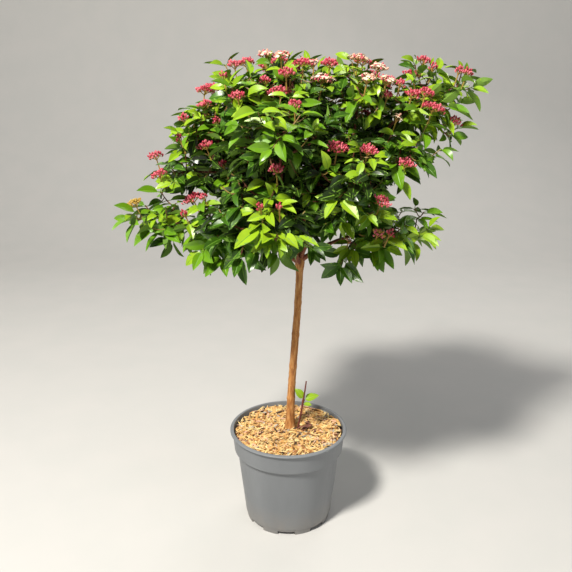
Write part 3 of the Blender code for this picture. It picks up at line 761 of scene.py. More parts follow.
def crosses(shape, trees):
    """True if a shape's surface crosses any of the others."""
    own = tree_of(shape)
    return any(own.overlap(tree) for tree in trees)


def in_box(point, box):
    """True if a point lies inside the model's box."""
    return all(low <= p <= high for low, p, high in zip(box[0], point, box[1]))


def best_joint(tip, joints):
    """The joint that reaches a tip with the least wood."""
    return min(joints, key=lambda j: (tip - j[0]).length + REACH_BACK * j[1])


def spread_kind(name, fullness):
    """Which of the spreads a mass's finer twigs take."""
    if name.startswith("back"):
        return "back"
    return "airy" if fullness < 1 else "full"


def grow(name, start, heading, limbs, spots, box):
    """The twigs of a mass: its stem, the source's own, those to the seen spots, and finer ones."""
    centre = Vector(MASSES[name][0])
    bend = start + heading * (centre - start).length * STEM_BEND
    stem = Twig(start, bend, centre, -1)
    twigs = [stem]
    joints = [stem.joint(share, 0.0) for share in (*TWIG_JOINTS, STEM_END_JOINT)]
    offset = random.Random(name).random()
    count = tip_count(name)

    def reach_out(tip, index, sag, shortest, shares, shown=None):
        """Adds a twig from the best joint to a tip, if it is long enough and its way is free."""
        place = best_joint(tip, joints)
        root, run, parent = place
        reach = (tip - root).length
        if reach < shortest:
            return False
        bend = root.lerp(tip, 0.5) - UP * sag * reach
        twig = Twig(root, bend, tip, index, parent, shown)
        thin = tube([root, bend, tip], [SHOOT_END_RADIUS] * 3, ROUGH_SIDES)
        if not in_cell(bend, name, BEND_MARGIN) and shown is None or crosses(thin, limbs):
            return False
        twigs.append(twig)
        joints.remove(place)
        joints.extend(twig.joint(share, run) for share in shares)
        return True

    for index in range(count * TRIES_PER_TIP):
        if len(twigs) > count:
            break
        tip = tip_spot(name, index, offset)
        if in_cell(tip, name, TIP_MARGIN):
            reach_out(tip, index, TWIG_SAG, TWIG_SHORTEST, TWIG_JOINTS + FINER_JOINTS)
    for k, spot in enumerate(spots):
        for sag in SPOT_SAGS:
            if reach_out(spot.tip, SPOT_INDEX + k, sag, 0.0, FINER_JOINTS, spot):
                break
    fullness = FULLNESS.get(name, 1.0)
    space, inward = FINER_SPREADS[spread_kind(name, fullness)]
    wanted = len(twigs) + round(count * (FINER - 1) * fullness)
    for index in range(count * TRIES_PER_TIP, int(count * TRIES_PER_TIP * FINER_TRIES)):
        if len(twigs) > wanted:
            break
        tip = tip_spot(name, index, offset, space, inward)
        if in_cell(tip, name, 0.0) and in_box(tip, box):
            reach_out(tip, index, TWIG_SAG, FINER_SHORTEST, FINER_JOINTS)
    for twig in twigs[::-1]:
        if twig.parent is not None:
            twig.parent.load += twig.load
    for twig in twigs:
        wide = SHOOT_END_RADIUS * twig.load ** LOAD_POWER
        if twig.parent is not None:
            wide = min(wide, twig.parent.root_radius)
        twig.root_radius = wide
    return twigs


class Shown:
    """A twig's tip that the photograph shows: the flower head or the leaves that it carries."""

    def __init__(self, tip, head=None, lean=None):
        self.tip = tip
        self.head = head
        self.lean = lean
        self.leaves = []


def sight(across, down):
    """The direction in which the camera sees a pixel of the photograph."""
    focal = LENS / SENSOR * IMAGE_SIZE
    ray = Vector(((across - IMAGE_SIZE / 2) / focal, 1.0, (IMAGE_SIZE / 2 - down) / focal))
    ray.rotate(Euler((-PITCH, 0.0, 0.0)))
    return ray.normalized()


def surface_spot(across, down):
    """The point of the crown's surface that a pixel shows, or the crown's nearest to its ray."""
    ray = sight(across, down)
    best = None
    for centre, sizes, *_ in MASSES.values():
        scale = Vector(1 / size for size in sizes)
        start = (CAMERA_AT - Vector(centre)) * scale
        step = ray * scale
        middle = -start.dot(step) / step.length_squared
        miss = (start + step * middle).length
        reach = math.sqrt(max(0.0, 1.0 - miss * miss)) / step.length
        found = (max(0.0, miss - SPOT_REACH), middle - reach)
        if best is None or found < best:
            best = found
    return CAMERA_AT + ray * (best[1] + SPOT_INSET)


def shown_spots():
    """What the photograph shows at known places, dealt out to the masses."""
    spots = {name: [] for name in MASSES}
    for across, down, kind, size in SEEN_HEADS:
        middle = surface_spot(across, down) - sight(across, down) * HEAD_OUTSET
        lean = (UP + (middle - CROWN_MIDDLE).normalized() * HEAD_LEAN).normalized()
        tip = middle - lean * (STALK_LENGTH + HEAD_RISE)
        spots[owner(tip)].append(Shown(tip, (kind, size), lean))
    for across, down, tip_across, tip_down, tone in SEEN_LEAVES:
        base = surface_spot(across, down)
        row = spots[owner(base)]
        shared = [spot for spot in row if spot.leaves and (spot.tip - base).length < SHARED_TIP]
        if not shared:
            shared = [Shown(base)]
            row.append(shared[0])
        shared[0].leaves.append((tip_across, tip_down, tone))
    return spots


# ---------------------------------------------------------------- leaves

def outline(share):
    """A blade's half-width at a share of its length, beside its widest."""
    widest = OUTLINE_BASE / (OUTLINE_BASE + OUTLINE_TIP)
    most = widest ** OUTLINE_BASE * (1 - widest) ** OUTLINE_TIP
    return share ** OUTLINE_BASE * (1 - share) ** OUTLINE_TIP / most


class Blade:
    """One unit blade along +Y with its upper side to +Z: how it curls, folds, twists and waves."""

    def __init__(self, draw):
        self.curl = draw.uniform(*CURL)
        self.fold = draw.uniform(*FOLD)
        self.twist = draw.uniform(*TWIST)
        self.phase = draw.uniform(0, math.tau)
        self.upper = self.side(UPPER_COLUMNS, 0.0, False)
        self.lower = self.side(LOWER_COLUMNS, -UNDERSIDE_GAP, True)
        self.rib = self.ridge()

    def point(self, share, across, lift):
        """A point of the blade, by its shares along and across it and its lift off the surface."""
        side = across * LEAF_WIDTH / 2 * outline(share)
        bulge = abs(across) * (1 - abs(across)) * 4
        vein = math.sin(math.tau * (VEINS * share - VEIN_SLANT * abs(across)))
        wave = math.sin(math.tau * EDGE_WAVES * share + self.phase + across)
        rise = abs(side) * self.fold + VEIN_DEPTH * vein * bulge + EDGE_WAVE * wave * across ** 2
        rise = rise * min(1.0, END_EASE * share, END_EASE * (1 - share)) + lift
        roll = self.twist * share
        x = side * math.cos(roll) - rise * math.sin(roll)
        above = side * math.sin(roll) + rise * math.cos(roll)
        bend = self.curl * share
        y = math.sin(bend) / self.curl + above * math.sin(bend)
        z = (math.cos(bend) - 1) / self.curl + above * math.cos(bend)
        return x, y, z

    def side(self, columns, lift, turned):
        """One side of the blade: a grid that closes to a point at the base and the tip."""
        points = [self.point(0.0, 0.0, 0.0)]
        for i in range(1, STATIONS):
            for across in columns:
                edge = 1 - abs(across)
                points.append(self.point(i / STATIONS, across, lift * edge))
        points.append(self.point(1.0, 0.0, 0.0))
        last = len(points) - 1
        width = len(columns)
        faces = []
        for k in range(width - 1):
            faces.append((0, k + 2, k + 1))
            for i in range(STATIONS - 2):
                low, high = 1 + i * width + k, 1 + (i + 1) * width + k
                faces.append((low, low + 1, high + 1, high))
            faces.append((last - width + k, last - width + k + 1, last))
        if turned:
            faces = [face[::-1] for face in faces]
        return np.array(points), faces

    def ridge(self):
        """The raised rib along the middle of the upper side."""
        points, faces = [], []
        for i in range(RIB_STATIONS):
            share = RIB_START + (RIB_END - RIB_START) * i / (RIB_STATIONS - 1)
            half = RIB_WIDTH * (1 - RIB_TAPER * i / (RIB_STATIONS - 1))
            across = half / max(LEAF_WIDTH / 2 * outline(share), half)
            points += [
                self.point(share, -across, 0.0),
                self.point(share, 0.0, RIB_HEIGHT),
                self.point(share, across, 0.0),
            ]
        for i in range(RIB_STATIONS - 1):
            low, high = 3 * i, 3 * i + 3
            faces += [(low, low + 1, high + 1, high), (low + 1, low + 2, high + 2, high + 1)]
        return np.array(points), faces


class Crowd:
    """The leaves and heads already placed and what is kept in view, by where they are."""

    def __init__(self):
        self.cells = {}

    def key(self, point):
        """The cell that a point is in."""
        return tuple(int(c // CROWD_CELL) for c in point)

    def add(self, point, tree):
        """Keeps what tells whether another shape crosses the one at a point."""
        self.cells.setdefault(self.key(point), []).append(tree)

    def near(self, point):
        """What is in the cell of a point and in those round it."""
        x, y, z = self.key(point)
        shifts = (-1, 0, 1)
        keys = [(x + i, y + j, z + k) for i in shifts for j in shifts for k in shifts]
        return [tree for key in keys for tree in self.cells.get(key, ())]


def leaf_pose(heading, outward, turn, spread, droop, most_rise):
    """The direction of a leaf at a twig's tip, and which way its upper face looks."""
    out = around(*sides_of(heading), turn)
    blade = (heading * math.cos(spread) + out * math.sin(spread) - UP * droop).normalized()
    blade.z = min(blade.z, most_rise)
    face = heading * math.sin(spread) - out * math.cos(spread)
    face += UP * LEAF_SKYWARD + outward * LEAF_OUTWARD
    return blade.normalized(), face


def kite(root, blade, across, length):
    """A leaf's rough outline, to try whether it has room."""
    middle = root + blade * length * KITE_MIDDLE
    half = across * length * LEAF_WIDTH * KITE_HALF
    start = root + blade * length * KITE_START
    corners = [start, middle + half, root + blade * length, middle - half]
    return corners, [(0, 1, 2), (0, 2, 3)]


def painted_light_tone(tip, shown, draw):
    """A spray's tone of painted light and shade: lighter further out and higher in the crown."""
    if shown and shown.leaves:
        return TONES.index(shown.leaves[0][-1])
    off = Vector((p - c) / r for p, c, r in zip(tip, CROWN_MIDDLE, CROWN_REACH))
    light = off.length + PAINTED_TOP_LIGHT * off.z - PAINTED_MIDDLE_SHADE * max(0.0, 1 - abs(off.z))
    light += draw.uniform(-TONE_SCATTER, TONE_SCATTER)
    return sum(light > limit for limit in TONE_LIMITS)


def leaf_on(gathers, root, blade, face, length, tone, shape, broader=1.0):
    """Adds one leaf: its stalk, its blade's two sides and its rib."""
    across = blade.cross(face).normalized()
    up = across.cross(blade).normalized()
    start = root + blade * length * PETIOLE
    size = length * (1 - PETIOLE)
    turn = np.array([across * broader, blade, up]) * size
    for part, (points, faces) in (
        (tone, shape.upper), ("underside", shape.lower), ("rib", shape.rib)
    ):
        gathers[part].add(points @ turn + np.array(start), faces)
    sunk = start + blade * size * PETIOLE_SINK
    radii = [PETIOLE_RADIUS, PETIOLE_RADIUS * PETIOLE_TAPER]
    gathers["rib"].add(*tube([root, sunk], radii, ROUGH_SIDES))


def shown_leaves(twig, limbs, crowd, gathers, shapes, box):
    """The leaves that the photograph shows on a twig, each from its base to its own tip's pixel.

    Returns their rough outlines. A blade curls down from its start, so it starts higher than its
    chord by half its curl.
    """
    draw = random.Random(f"shown {twig.shown.tip.x:.4f}")
    root = twig.line[-1]
    towards = (CAMERA_AT - root).normalized()
    placed = []
    for across, down, tone in twig.shown.leaves:
        shape = draw.choice(shapes)
        ray = sight(across, down)
        flat = CAMERA_AT + ray * (root - CAMERA_AT).length
        chord = (flat - root).length
        whole = max(chord * SEEN_TURNED, SEEN_SHORTEST)
        deep = math.sqrt(whole ** 2 - chord ** 2)
        for share in SEEN_DEPTHS:
            tip = flat - ray * deep * share
            straight = (tip - root).normalized()
            side = straight.cross(UP + towards * SEEN_FACING).normalized()
            up = side.cross(straight)
            blade = straight * math.cos(shape.curl / 2) + up * math.sin(shape.curl / 2)
            length = (tip - root).length * shape.curl / (2 * math.sin(shape.curl / 2))
            rough = kite(root, straight, side, length)
            inside = all(in_box(corner, box) for corner in rough[0])
            if inside and not crosses(rough, limbs + crowd.near(rough[0][1])):
                crowd.add((root + tip) / 2, tree_of(rough))
                leaf_on(gathers, root, blade, up, length, tone, shape)
                placed.append(rough[0])
                break
    return placed


def screen(crowd, corners):
    """Keeps a seen leaf in view: nothing more crosses the space between it and the camera."""
    step = (CAMERA_AT - corners[1]).normalized() * VIEW_STEP
    faces = band(0, len(corners), len(corners))
    for i in range(VIEW_STEPS):
        near = [corner + step * (i + VIEW_START) for corner in corners]
        far = [corner + step for corner in near]
        crowd.add((near[0] + far[2]) / 2, tree_of((near + far, faces)))


def dress(name, twig, blooming, limbs, crowd, gathers, shapes, box):
    """The leaves of a twig, in opposite pairs that turn a quarter at each row."""
    draw = random.Random(f"{name} {twig.index}")
    tip, heading = twig.tip()
    lifted = (heading + UP * TIP_LIFT).normalized()
    first_turn = draw.uniform(0, math.pi)
    # The spray's tone of painted light and shade, from its place in the crown.
    tone = painted_light_tone(tip, twig.shown, draw)
    low = min(1.0, max(0.0, (CROWN_MIDDLE.z - tip.z) / CROWN_REACH.z))
    high = min(1.0, max(0.0, (tip.z - CROWN_MIDDLE.z) / CROWN_REACH.z))
    most_rise = LEAF_RISE[0] + LEAF_RISE[1] * high ** 2
    outward = (tip - CROWN_MIDDLE).normalized()
    length_of_line = line_length(twig.line)
    for row, (back, angle, droop, share, count) in enumerate(LEAF_ROWS):
        if (blooming or twig.shown) and count == 1 or back > length_of_line:
            continue
        root, _ = along(twig.line, 1 - back / length_of_line)
        for side in range(count):
            scatter = draw.uniform(-ANGLE_SCATTER, ANGLE_SCATTER)
            spread = math.radians(angle + BLOOM_SPREAD * blooming + scatter)
            turn = first_turn + math.pi * side + math.pi / 2 * row
            turn += draw.uniform(-TURN_SCATTER, TURN_SCATTER)
            length = LEAF_LENGTH * draw.uniform(*LEAF_SPREAD) * share * (1 + LOW_LONGER * low)
            lighter = tone + (row < TIP_ROWS and draw.random() < TIP_BRIGHTER and tone >= TIP_TONE)
            for attempt in range(LEAF_TRIES):
                aside = (attempt + 1) // 2 * (TURN_ASIDE if attempt % 2 else -TURN_ASIDE)
                sag = droop + LOW_DROOP * low
                blade, face = leaf_pose(lifted, outward, turn + aside, spread, sag, most_rise)
                size = length * (1 - SHORTEN * attempt)
                across = blade.cross(face).normalized()
                shape = kite(root, blade, across, size)
                middle = root + blade * size / 2
                lowest = 0.0 if twig.shown else LOWEST_LEAF
                inside = all(
                    in_cell(corner, name, LEAF_MARGIN) and in_box(corner, box) and corner.z > lowest
                    for corner in shape[0]
                )
                if inside and not crosses(shape, limbs + crowd.near(middle)):
                    crowd.add(middle, tree_of(shape))
                    chosen = TONES[min(lighter, len(TONES) - 1)]
                    leaf_on(gathers, root, blade, face, size, chosen, draw.choice(shapes))
                    break


# ---------------------------------------------------------------- flower heads

def bud(foot, heading, length, radius):
    """One closed bud: a slim egg on its end."""
    side, other = sides_of(heading)
    points = [foot]
    for share, wide in BUD_RINGS:
        for turn in turns_of(BUD_SIDES):
            out = around(side, other, turn)
            points.append(foot + heading * length * share + out * radius * wide)
    points.append(foot + heading * length)
    faces = []
    last = len(points) - 1
    for k in range(BUD_SIDES):
        after = (k + 1) % BUD_SIDES
        faces.append((0, 1 + after, 1 + k))
        for ring in range(len(BUD_RINGS) - 1):
            low, high = 1 + ring * BUD_SIDES, 1 + (ring + 1) * BUD_SIDES
            faces.append((low + k, low + after, high + after, high + k))
        faces.append((last - BUD_SIDES + k, last - BUD_SIDES + after, last))
    return points, faces


def blossom(foot, heading, length, turn_by):
    """One open flower: a short tube and five rounded petals."""
    side, other = sides_of(heading)
    throat = foot + heading * length * THROAT
    points, faces = [foot], []
    for turn in turns_of(PETALS):
        out = around(side, other, turn + turn_by)
        wing = heading.cross(out)
        first = len(points)
        for outward, sideways, upward in PETAL_OUTLINE:
            corner = throat + out * PETAL_LENGTH * outward + wing * PETAL_LENGTH * sideways
            points.append(corner + heading * PETAL_LENGTH * upward)
        faces += [(0, first + 1, first), (first, first + 1, first + 2, first + 3, first + 4)]
    return points, faces


def flower_head(gathers, foot, heading, kind, size, draw):
    """A low domed flower head: its stalk, its rays, and the buds and open flowers on them."""
    fork = foot + heading * STALK_LENGTH
    gathers["stalk"].add(*tube([foot, foot.lerp(fork, 0.5), fork], STALK_RADII, STALK_SIDES))
    side, other = sides_of(heading)
    radius = HEAD_RADIUS * size
    turned = draw.uniform(0, math.tau)
    rays = []
    for turn in turns_of(HEAD_LOBES):
        out = around(side, other, turned + turn)
        rays.append(fork + out * radius * RAY_REACH + heading * HEAD_RISE * RAY_REACH)
    rays.append(fork + heading * HEAD_RISE * MIDDLE_RAY_RISE)
    for ray in rays:
        gathers["stalk"].add(*tube([fork, ray], RAY_RADII, RAY_SIDES))
    buds = max(FEWEST_BUDS, round(BUDS * size ** BUDS_POWER))
    for i in range(buds):
        reach = math.sqrt((i + 0.5) / buds)
        turn = turned + i * GOLDEN_TURN
        lobe = 1 - HEAD_NOTCH * (1 - math.cos(HEAD_LOBES * (turn - turned))) / 2 * reach
        out = around(side, other, turn)
        level = HEAD_RISE - HEAD_DOME * reach ** 2 + draw.uniform(-HEAD_ROUGH, HEAD_ROUGH)
        base = fork + out * radius * reach * lobe + heading * level
        nearest = min(rays, key=lambda ray: (ray - base).length)
        gathers["stalk"].add(*tube([nearest, base], PEDICEL_RADII, ROUGH_SIDES))
        lean = heading + out * reach * BUD_OUTWARD + side * draw.uniform(-BUD_SCATTER, BUD_SCATTER)
        lean.normalize()
        length = BUD_LENGTH * draw.uniform(*BUD_LENGTHS)
        if kind == "pale" and draw.random() < OPEN_SHARE:
            gathers["cream"].add(*blossom(base, lean, length, draw.uniform(0, math.tau)))
            continue
        part = draw.choice(HEAD_KINDS[kind])
        gathers[part].add(*bud(base, lean, length, BUD_RADIUS * draw.uniform(*BUD_WIDTHS)))


# ---------------------------------------------------------------- crown

def bloom_rank(twig):
    """Flower heads stand at the tips that reach highest and furthest from the crown's middle."""
    tip = twig.line[-1]
    outward = Vector((tip.x - TRUNK_TOP.x, tip.y - TRUNK_TOP.y)).length
    return tip.z + BLOOM_OUTWARD * outward


def is_hidden(tip):
    """True if a flower head on this tip would be out of the photograph's view."""
    return tip.y > HIDDEN_BEHIND and tip.z < HIDDEN_TOP


def head_body(foot, heading, size):
    """The middle line of a flower head's cluster, from its fork to its top, and its reach."""
    fork = foot + heading * STALK_LENGTH
    return fork, fork + heading * (HEAD_RISE + BUD_LENGTH), HEAD_RADIUS * size


def keep_in_view(crowd, top, reach):
    """Keeps more leaves from in front of a flower head that the photograph shows."""
    step = (CAMERA_AT - top).normalized() * VIEW_STEP
    for i in range(VIEW_STEPS):
        near = top + step * i
        for share in VIEW_RINGS:
            wide = [reach * share] * 2
            crowd.add(near + step / 2, tree_of(tube([near, near + step], wide, VIEW_SIDES)))


def twig_radii(twig, first):
    """A twig's taper, with a small swelling at each pair of leaves."""
    whole = line_length(twig.line)
    radii = []
    for i in range(len(twig.line)):
        t = i / (len(twig.line) - 1)
        radius = first + (SHOOT_END_RADIUS - first) * t
        for back, *_ in LEAF_ROWS[1:]:
            off = (whole * (1 - t) - back) / NODE_WIDTH
            radius += SHOOT_END_RADIUS * NODE_SWELL * math.exp(-off * off)
        radii.append(radius)
    return radii


def make_crown(lines, radii, box):
    """All the masses: their twigs, leaves and flower heads, gathered by kind into pieces."""
    limbs = []
    for name, line in lines.items():
        points = line[:: TRUNK_RINGS // ROUGH_RINGS] + [line[-1]] if name == "trunk" else line
        wide = [radii[name][0] + CLEAR] * len(points)
        limbs.append(tree_of(tube(points, wide, ROUGH_LIMB_SIDES)))
    spots = shown_spots()
    parts = TONES + (
        "underside", "rib", "stalk", "crimson", "rose", "blush", "ochre", "cream", "twig", "shoot",
    )
    gathers = {part: Gather() for part in parts}
    draw = random.Random("blades")
    shapes = [Blade(draw) for _ in range(LEAF_SHAPES)]
    crowd = Crowd()
    waiting, views = [], []
    for name in MASSES:
        end, heading = along(lines[name], 1.0)
        twigs = grow(name, end, heading, limbs, spots[name], box)
        free = [twig for twig in twigs[1:] if twig.load == 1 and twig.shown is None]
        hidden = [twig for twig in free if is_hidden(twig.line[-1])]
        highest = sorted(hidden, key=bloom_rank, reverse=True)[: MASSES[name][-1]]
        for twig in twigs:
            first = radii[name][-1] if twig.parent is None else twig.root_radius
            part = "shoot" if twig.load == 1 else "twig"
            gathers[part].add(*tube(twig.line, twig_radii(twig, first), TWIG_SIDES))
        for twig in twigs[1:]:
            draw = random.Random(f"head {name} {twig.index}")
            tip, heading = twig.tip()
            head = twig.shown.head if twig.shown else None
            if twig in highest:
                head = ("red", draw.uniform(*HEAD_SPREAD))
            if head:
                upright = (heading * HEAD_LEAN + UP).normalized()
                if twig.shown:
                    upright = twig.shown.lean
                flower_head(gathers, tip, upright, *head, draw)
                fork, top, reach = head_body(tip, upright, head[1])
                crowd.add(fork, tree_of(tube([fork, top], [reach] * 2, VIEW_SIDES)))
                if twig.shown:
                    views.append((top, reach))
            waiting.append((twig.shown is None, name, twig, bool(head)))
    waiting.sort(key=lambda item: item[0])
    placed = []
    for unseen, _, twig, _ in waiting:
        if not unseen and twig.shown.leaves:
            placed += shown_leaves(twig, limbs, crowd, gathers, shapes, box)
    for top, reach in views:
        keep_in_view(crowd, top, reach)
    for corners in placed:
        screen(crowd, corners)
    for _, name, twig, blooming in waiting:
        dress(name, twig, blooming, limbs, crowd, gathers, shapes, box)
    return gathers


# ---------------------------------------------------------------- bark

def bark_relief(spot):
    """How far the bark stands out at a place: long shallow furrows and broad uneven swellings."""
    furrow = noise.noise(spot * Vector((FISSURE_AROUND, FISSURE_AROUND, FISSURE_ALONG)))
    return FISSURE_DEPTH * (1 - 2 * abs(furrow)) + KNOT_DEPTH * noise.noise(spot * KNOT_SCALE)


def trunk_radii(points):
    """The trunk's taper, its flare at the foot, its old leaf joints, and its swollen fork."""
    radii = []
    for i, point in enumerate(points):
        t = i / (len(points) - 1)
        radius = TRUNK_RADIUS + (TRUNK_TOP_RADIUS - TRUNK_RADIUS) * t
        radius += ROOT_FLARE * math.exp(-(point.z - points[0].z) / FLARE_HEIGHT)
        for height in TRUNK_JOINTS:
            radius += TRUNK_JOINT_SWELL * math.exp(-((point.z - height) / TRUNK_JOINT_WIDTH) ** 2)
        radius += FORK_SWELL * math.exp(-((point.z - FORK_HEIGHT) / FORK_WIDTH) ** 2)
        radii.append(radius)
    return radii


def limb_radii(name, count):
    """A bough's taper: stouter where it leaves the trunk than where it leaves another bough."""
    first = FIRST_LIMB_RADIUS if MASSES[name][2] == "trunk" else SIDE_LIMB_RADIUS
    return [first * (1 - (1 - LIMB_TAPER) * i / (count - 1)) for i in range(count)]


def lenticels(gather, points, radii, draw):
    """Small raised pale pores scattered on a limb's bark."""
    frames = frames_of(points)
    count = round(line_length(points) * LENTICELS_PER_METRE)
    for _ in range(count):
        i = draw.randrange(2, len(points) - 2)
        tangent, side, other = frames[i]
        out = around(side, other, draw.uniform(0, math.tau))
        across = tangent.cross(out)
        spot = points[i] + out * (radii[i] + bark_relief(points[i] + out * radii[i]))
        half = LENTICEL_LENGTH * draw.uniform(*LENTICEL_SIZES) / 2
        ring = [
            spot + across * half * math.cos(turn) * LENTICEL_BROADER
            + tangent * half * math.sin(turn) - out * LENTICEL_SINK
            for turn in turns_of(LENTICEL_SIDES)
        ]
        faces = [(k, (k + 1) % LENTICEL_SIDES, LENTICEL_SIDES) for k in range(LENTICEL_SIDES)]
        gather.add(ring + [spot + out * LENTICEL_RAISE], faces)


def make_wood(lines):
    """The trunk and the boughs with their bark's relief. Returns the boughs' radii too."""
    pores = Gather()
    draw = random.Random("pores")
    trunk = Gather()
    points = lines["trunk"]
    radii = trunk_radii(points)
    end_gap = points[-1].z - points[-2].z
    beyond = [points[-1] + UP * end_gap * k for k in range(1, round(TRUNK_END / end_gap))]
    cap = []
    for k in range(len(beyond)):
        t = (k + 1) / len(beyond)
        cap.append(radii[-1] + (CAP_RADIUS - radii[-1]) * t * t * (3 - 2 * t))
    trunk.add(*tube(points + beyond, radii + cap, TRUNK_SIDES, bark_relief))
    lenticels(pores, points, radii, draw)
    boughs = Gather()
    limbs = {"trunk": radii}
    for name in MASSES:
        rough = lines[name]
        fine = evened(smoothed(rough), RING_GAP)
        taper = limb_radii(name, len(fine))
        whole = line_length(fine)
        for i in range(len(fine)):
            away = whole * i / (len(fine) - 1)
            taper[i] *= 1 + COLLAR_SWELL * math.exp(-away / COLLAR_LENGTH)
        boughs.add(*tube(fine, taper, LIMB_SIDES, bark_relief))
        lenticels(pores, fine, taper, draw)
        limbs[name] = limb_radii(name, len(rough))
    return trunk, boughs, pores, limbs


# ---------------------------------------------------------------- pot and filling

def rounded(profile, radius):
    """A (radius, height) line with its inner corners rounded."""
    points = [Vector(p) for p in profile]
    made = [points[0]]
    for before, corner, after in zip(points, points[1:], points[2:]):
        back = min(radius, (before - corner).length * MOST_ROUND)
        ahead = min(radius, (after - corner).length * MOST_ROUND)
        first = corner + (before - corner).normalized() * back
        last = corner + (after - corner).normalized() * ahead
        made += arc_between(first, corner, last, ROUND_STEPS)
    return made + [points[-1]]


def turned(profile, sides):
    """A solid turned about Z from (radius, height) points, up the outside and down the inside."""
    bm = bmesh.new()
    rings = []
    for radius, height in profile:
        if radius == 0:
            rings.append([bm.verts.new((0, 0, height))])
            continue
        spots = [(radius * math.cos(a), radius * math.sin(a), height) for a in turns_of(sides)]
        rings.append([bm.verts.new(spot) for spot in spots])
    for low, high in zip(rings, rings[1:]):
        for k in range(sides):
            corners = (
                low[k % len(low)],
                low[(k + 1) % len(low)],
                high[(k + 1) % len(high)],
                high[k % len(high)],
            )
            bm.faces.new(tuple(dict.fromkeys(corners)))
    return bm


def object_of(name, bm):
    """The bmesh as an object in the scene. It frees the bmesh."""
    mesh = bpy.data.meshes.new(name)
    bm.to_mesh(mesh)
    bm.free()
    made = bpy.data.objects.new(name, mesh)
    bpy.context.scene.collection.objects.link(made)
    return made


def channel_block(turn):
    """The block that cuts one drainage channel across the underside, wider towards the wall."""
    outline_points = [
        (CHANNEL_START, -CHANNEL_INNER_WIDTH / 2),
        (RIM_RADIUS, -CHANNEL_OUTER_WIDTH / 2),
        (RIM_RADIUS, CHANNEL_OUTER_WIDTH / 2),
        (CHANNEL_START, CHANNEL_INNER_WIDTH / 2),
    ]
    bm = bmesh.new()
    floor = bm.faces.new([bm.verts.new((x, y, -CHANNEL_HEIGHT)) for x, y in outline_points])
    made = bmesh.ops.extrude_face_region(bm, geom=[floor])
    raised = [item for item in made["geom"] if isinstance(item, bmesh.types.BMVert)]
    bmesh.ops.translate(bm, verts=raised, vec=UP * 2 * CHANNEL_HEIGHT)
    bmesh.ops.rotate(bm, verts=bm.verts, matrix=Matrix.Rotation(turn, 3, "Z"))
    bmesh.ops.recalc_face_normals(bm, faces=bm.faces)
    return bm


def drain_post(turn):
    """The post that cuts one drain hole."""
    bm = bmesh.new()
    centre = Vector((math.cos(turn), math.sin(turn), 0)) * DRAIN_AT + UP * FLOOR
    bmesh.ops.create_cone(
        bm, cap_ends=True, segments=POST_SIDES, radius1=DRAIN_RADIUS, radius2=DRAIN_RADIUS,
        depth=POST_LENGTH, matrix=Matrix.Translation(centre),
    )
    return bm


def inner_marks():
    """The (radius, height) points of the pot's inner side, from its floor to its rim."""
    return [
        (BODY_FOOT_RADIUS - WALL, FLOOR),
        (BODY_TOP_RADIUS - WALL, SHOULDER_HEIGHT),
        (COLLAR_FOOT_RADIUS - WALL, COLLAR_FOOT_HEIGHT),
        (COLLAR_TOP_RADIUS - WALL, POT_HEIGHT),
    ]


def inner_radius(height):
    """The pot's inner radius at a height."""
    marks = inner_marks()
    for (first, low), (second, high) in zip(marks, marks[1:]):
        if height <= high:
            return first + (second - first) * (height - low) / (high - low)
    return marks[-1][0]


def in_order(mesh):
    """The mesh with its points and faces in a set order. A Boolean's own varies from run to run."""
    places = [tuple(vertex.co) for vertex in mesh.vertices]
    points = sorted(places)
    rank = {place: i for i, place in enumerate(points)}
    faces = []
    for polygon in mesh.polygons:
        corners = [rank[places[i]] for i in polygon.vertices]
        first = corners.index(min(corners))
        faces.append(corners[first:] + corners[:first])
    made = bpy.data.meshes.new("pot_shell")
    made.from_pydata(points, [], sorted(faces))
    bpy.data.meshes.remove(mesh)
    return made


def make_pot():
    """The pot with rounded edges: a lipped rim, a collar, a tapering body and a channelled foot."""
    outside = [
        (0, 0),
        (FOOT_SOLE_RADIUS, 0),
        (FOOT_RADIUS, FOOT_HEIGHT),
        (BODY_FOOT_RADIUS, FOOT_HEIGHT + FOOT_STEP),
        (BODY_TOP_RADIUS, SHOULDER_HEIGHT),
        (COLLAR_FOOT_RADIUS, COLLAR_FOOT_HEIGHT),
        (COLLAR_TOP_RADIUS, POT_HEIGHT - LIP_HEIGHT - LIP_ROUND),
        (RIM_RADIUS, POT_HEIGHT - LIP_HEIGHT),
        (RIM_RADIUS, POT_HEIGHT - LIP_ROUND - LIP_DROP),
        (RIM_RADIUS - LIP_SLOPE, POT_HEIGHT),
    ]
    profile = rounded(outside + inner_marks()[::-1] + [(0, FLOOR)], POT_ROUND)
    pot = object_of("pot_shell", turned(profile, POT_SIDES))
    group = bpy.data.collections.new("cutters")
    bpy.context.scene.collection.children.link(group)
    for turn in turns_of(CHANNELS):
        for bm in (channel_block(CHANNEL_TURN + turn), drain_post(CHANNEL_TURN + turn)):
            cutter = object_of("cutter", bm)
            bpy.context.scene.collection.objects.unlink(cutter)
            group.objects.link(cutter)
    modifier = pot.modifiers.new("channels", "BOOLEAN")
    modifier.operation = "DIFFERENCE"
    modifier.operand_type = "COLLECTION"
    modifier.collection = group
    modifier.solver = "EXACT"
    bpy.context.view_layer.update()
    graph = bpy.context.evaluated_depsgraph_get()
    result = bpy.data.meshes.new_from_object(pot.evaluated_get(graph))
    pot.modifiers.clear()
    pot.data = in_order(result)
    for cutter in list(group.objects):
        bpy.data.objects.remove(cutter)
    bpy.data.collections.remove(group)
    return pot


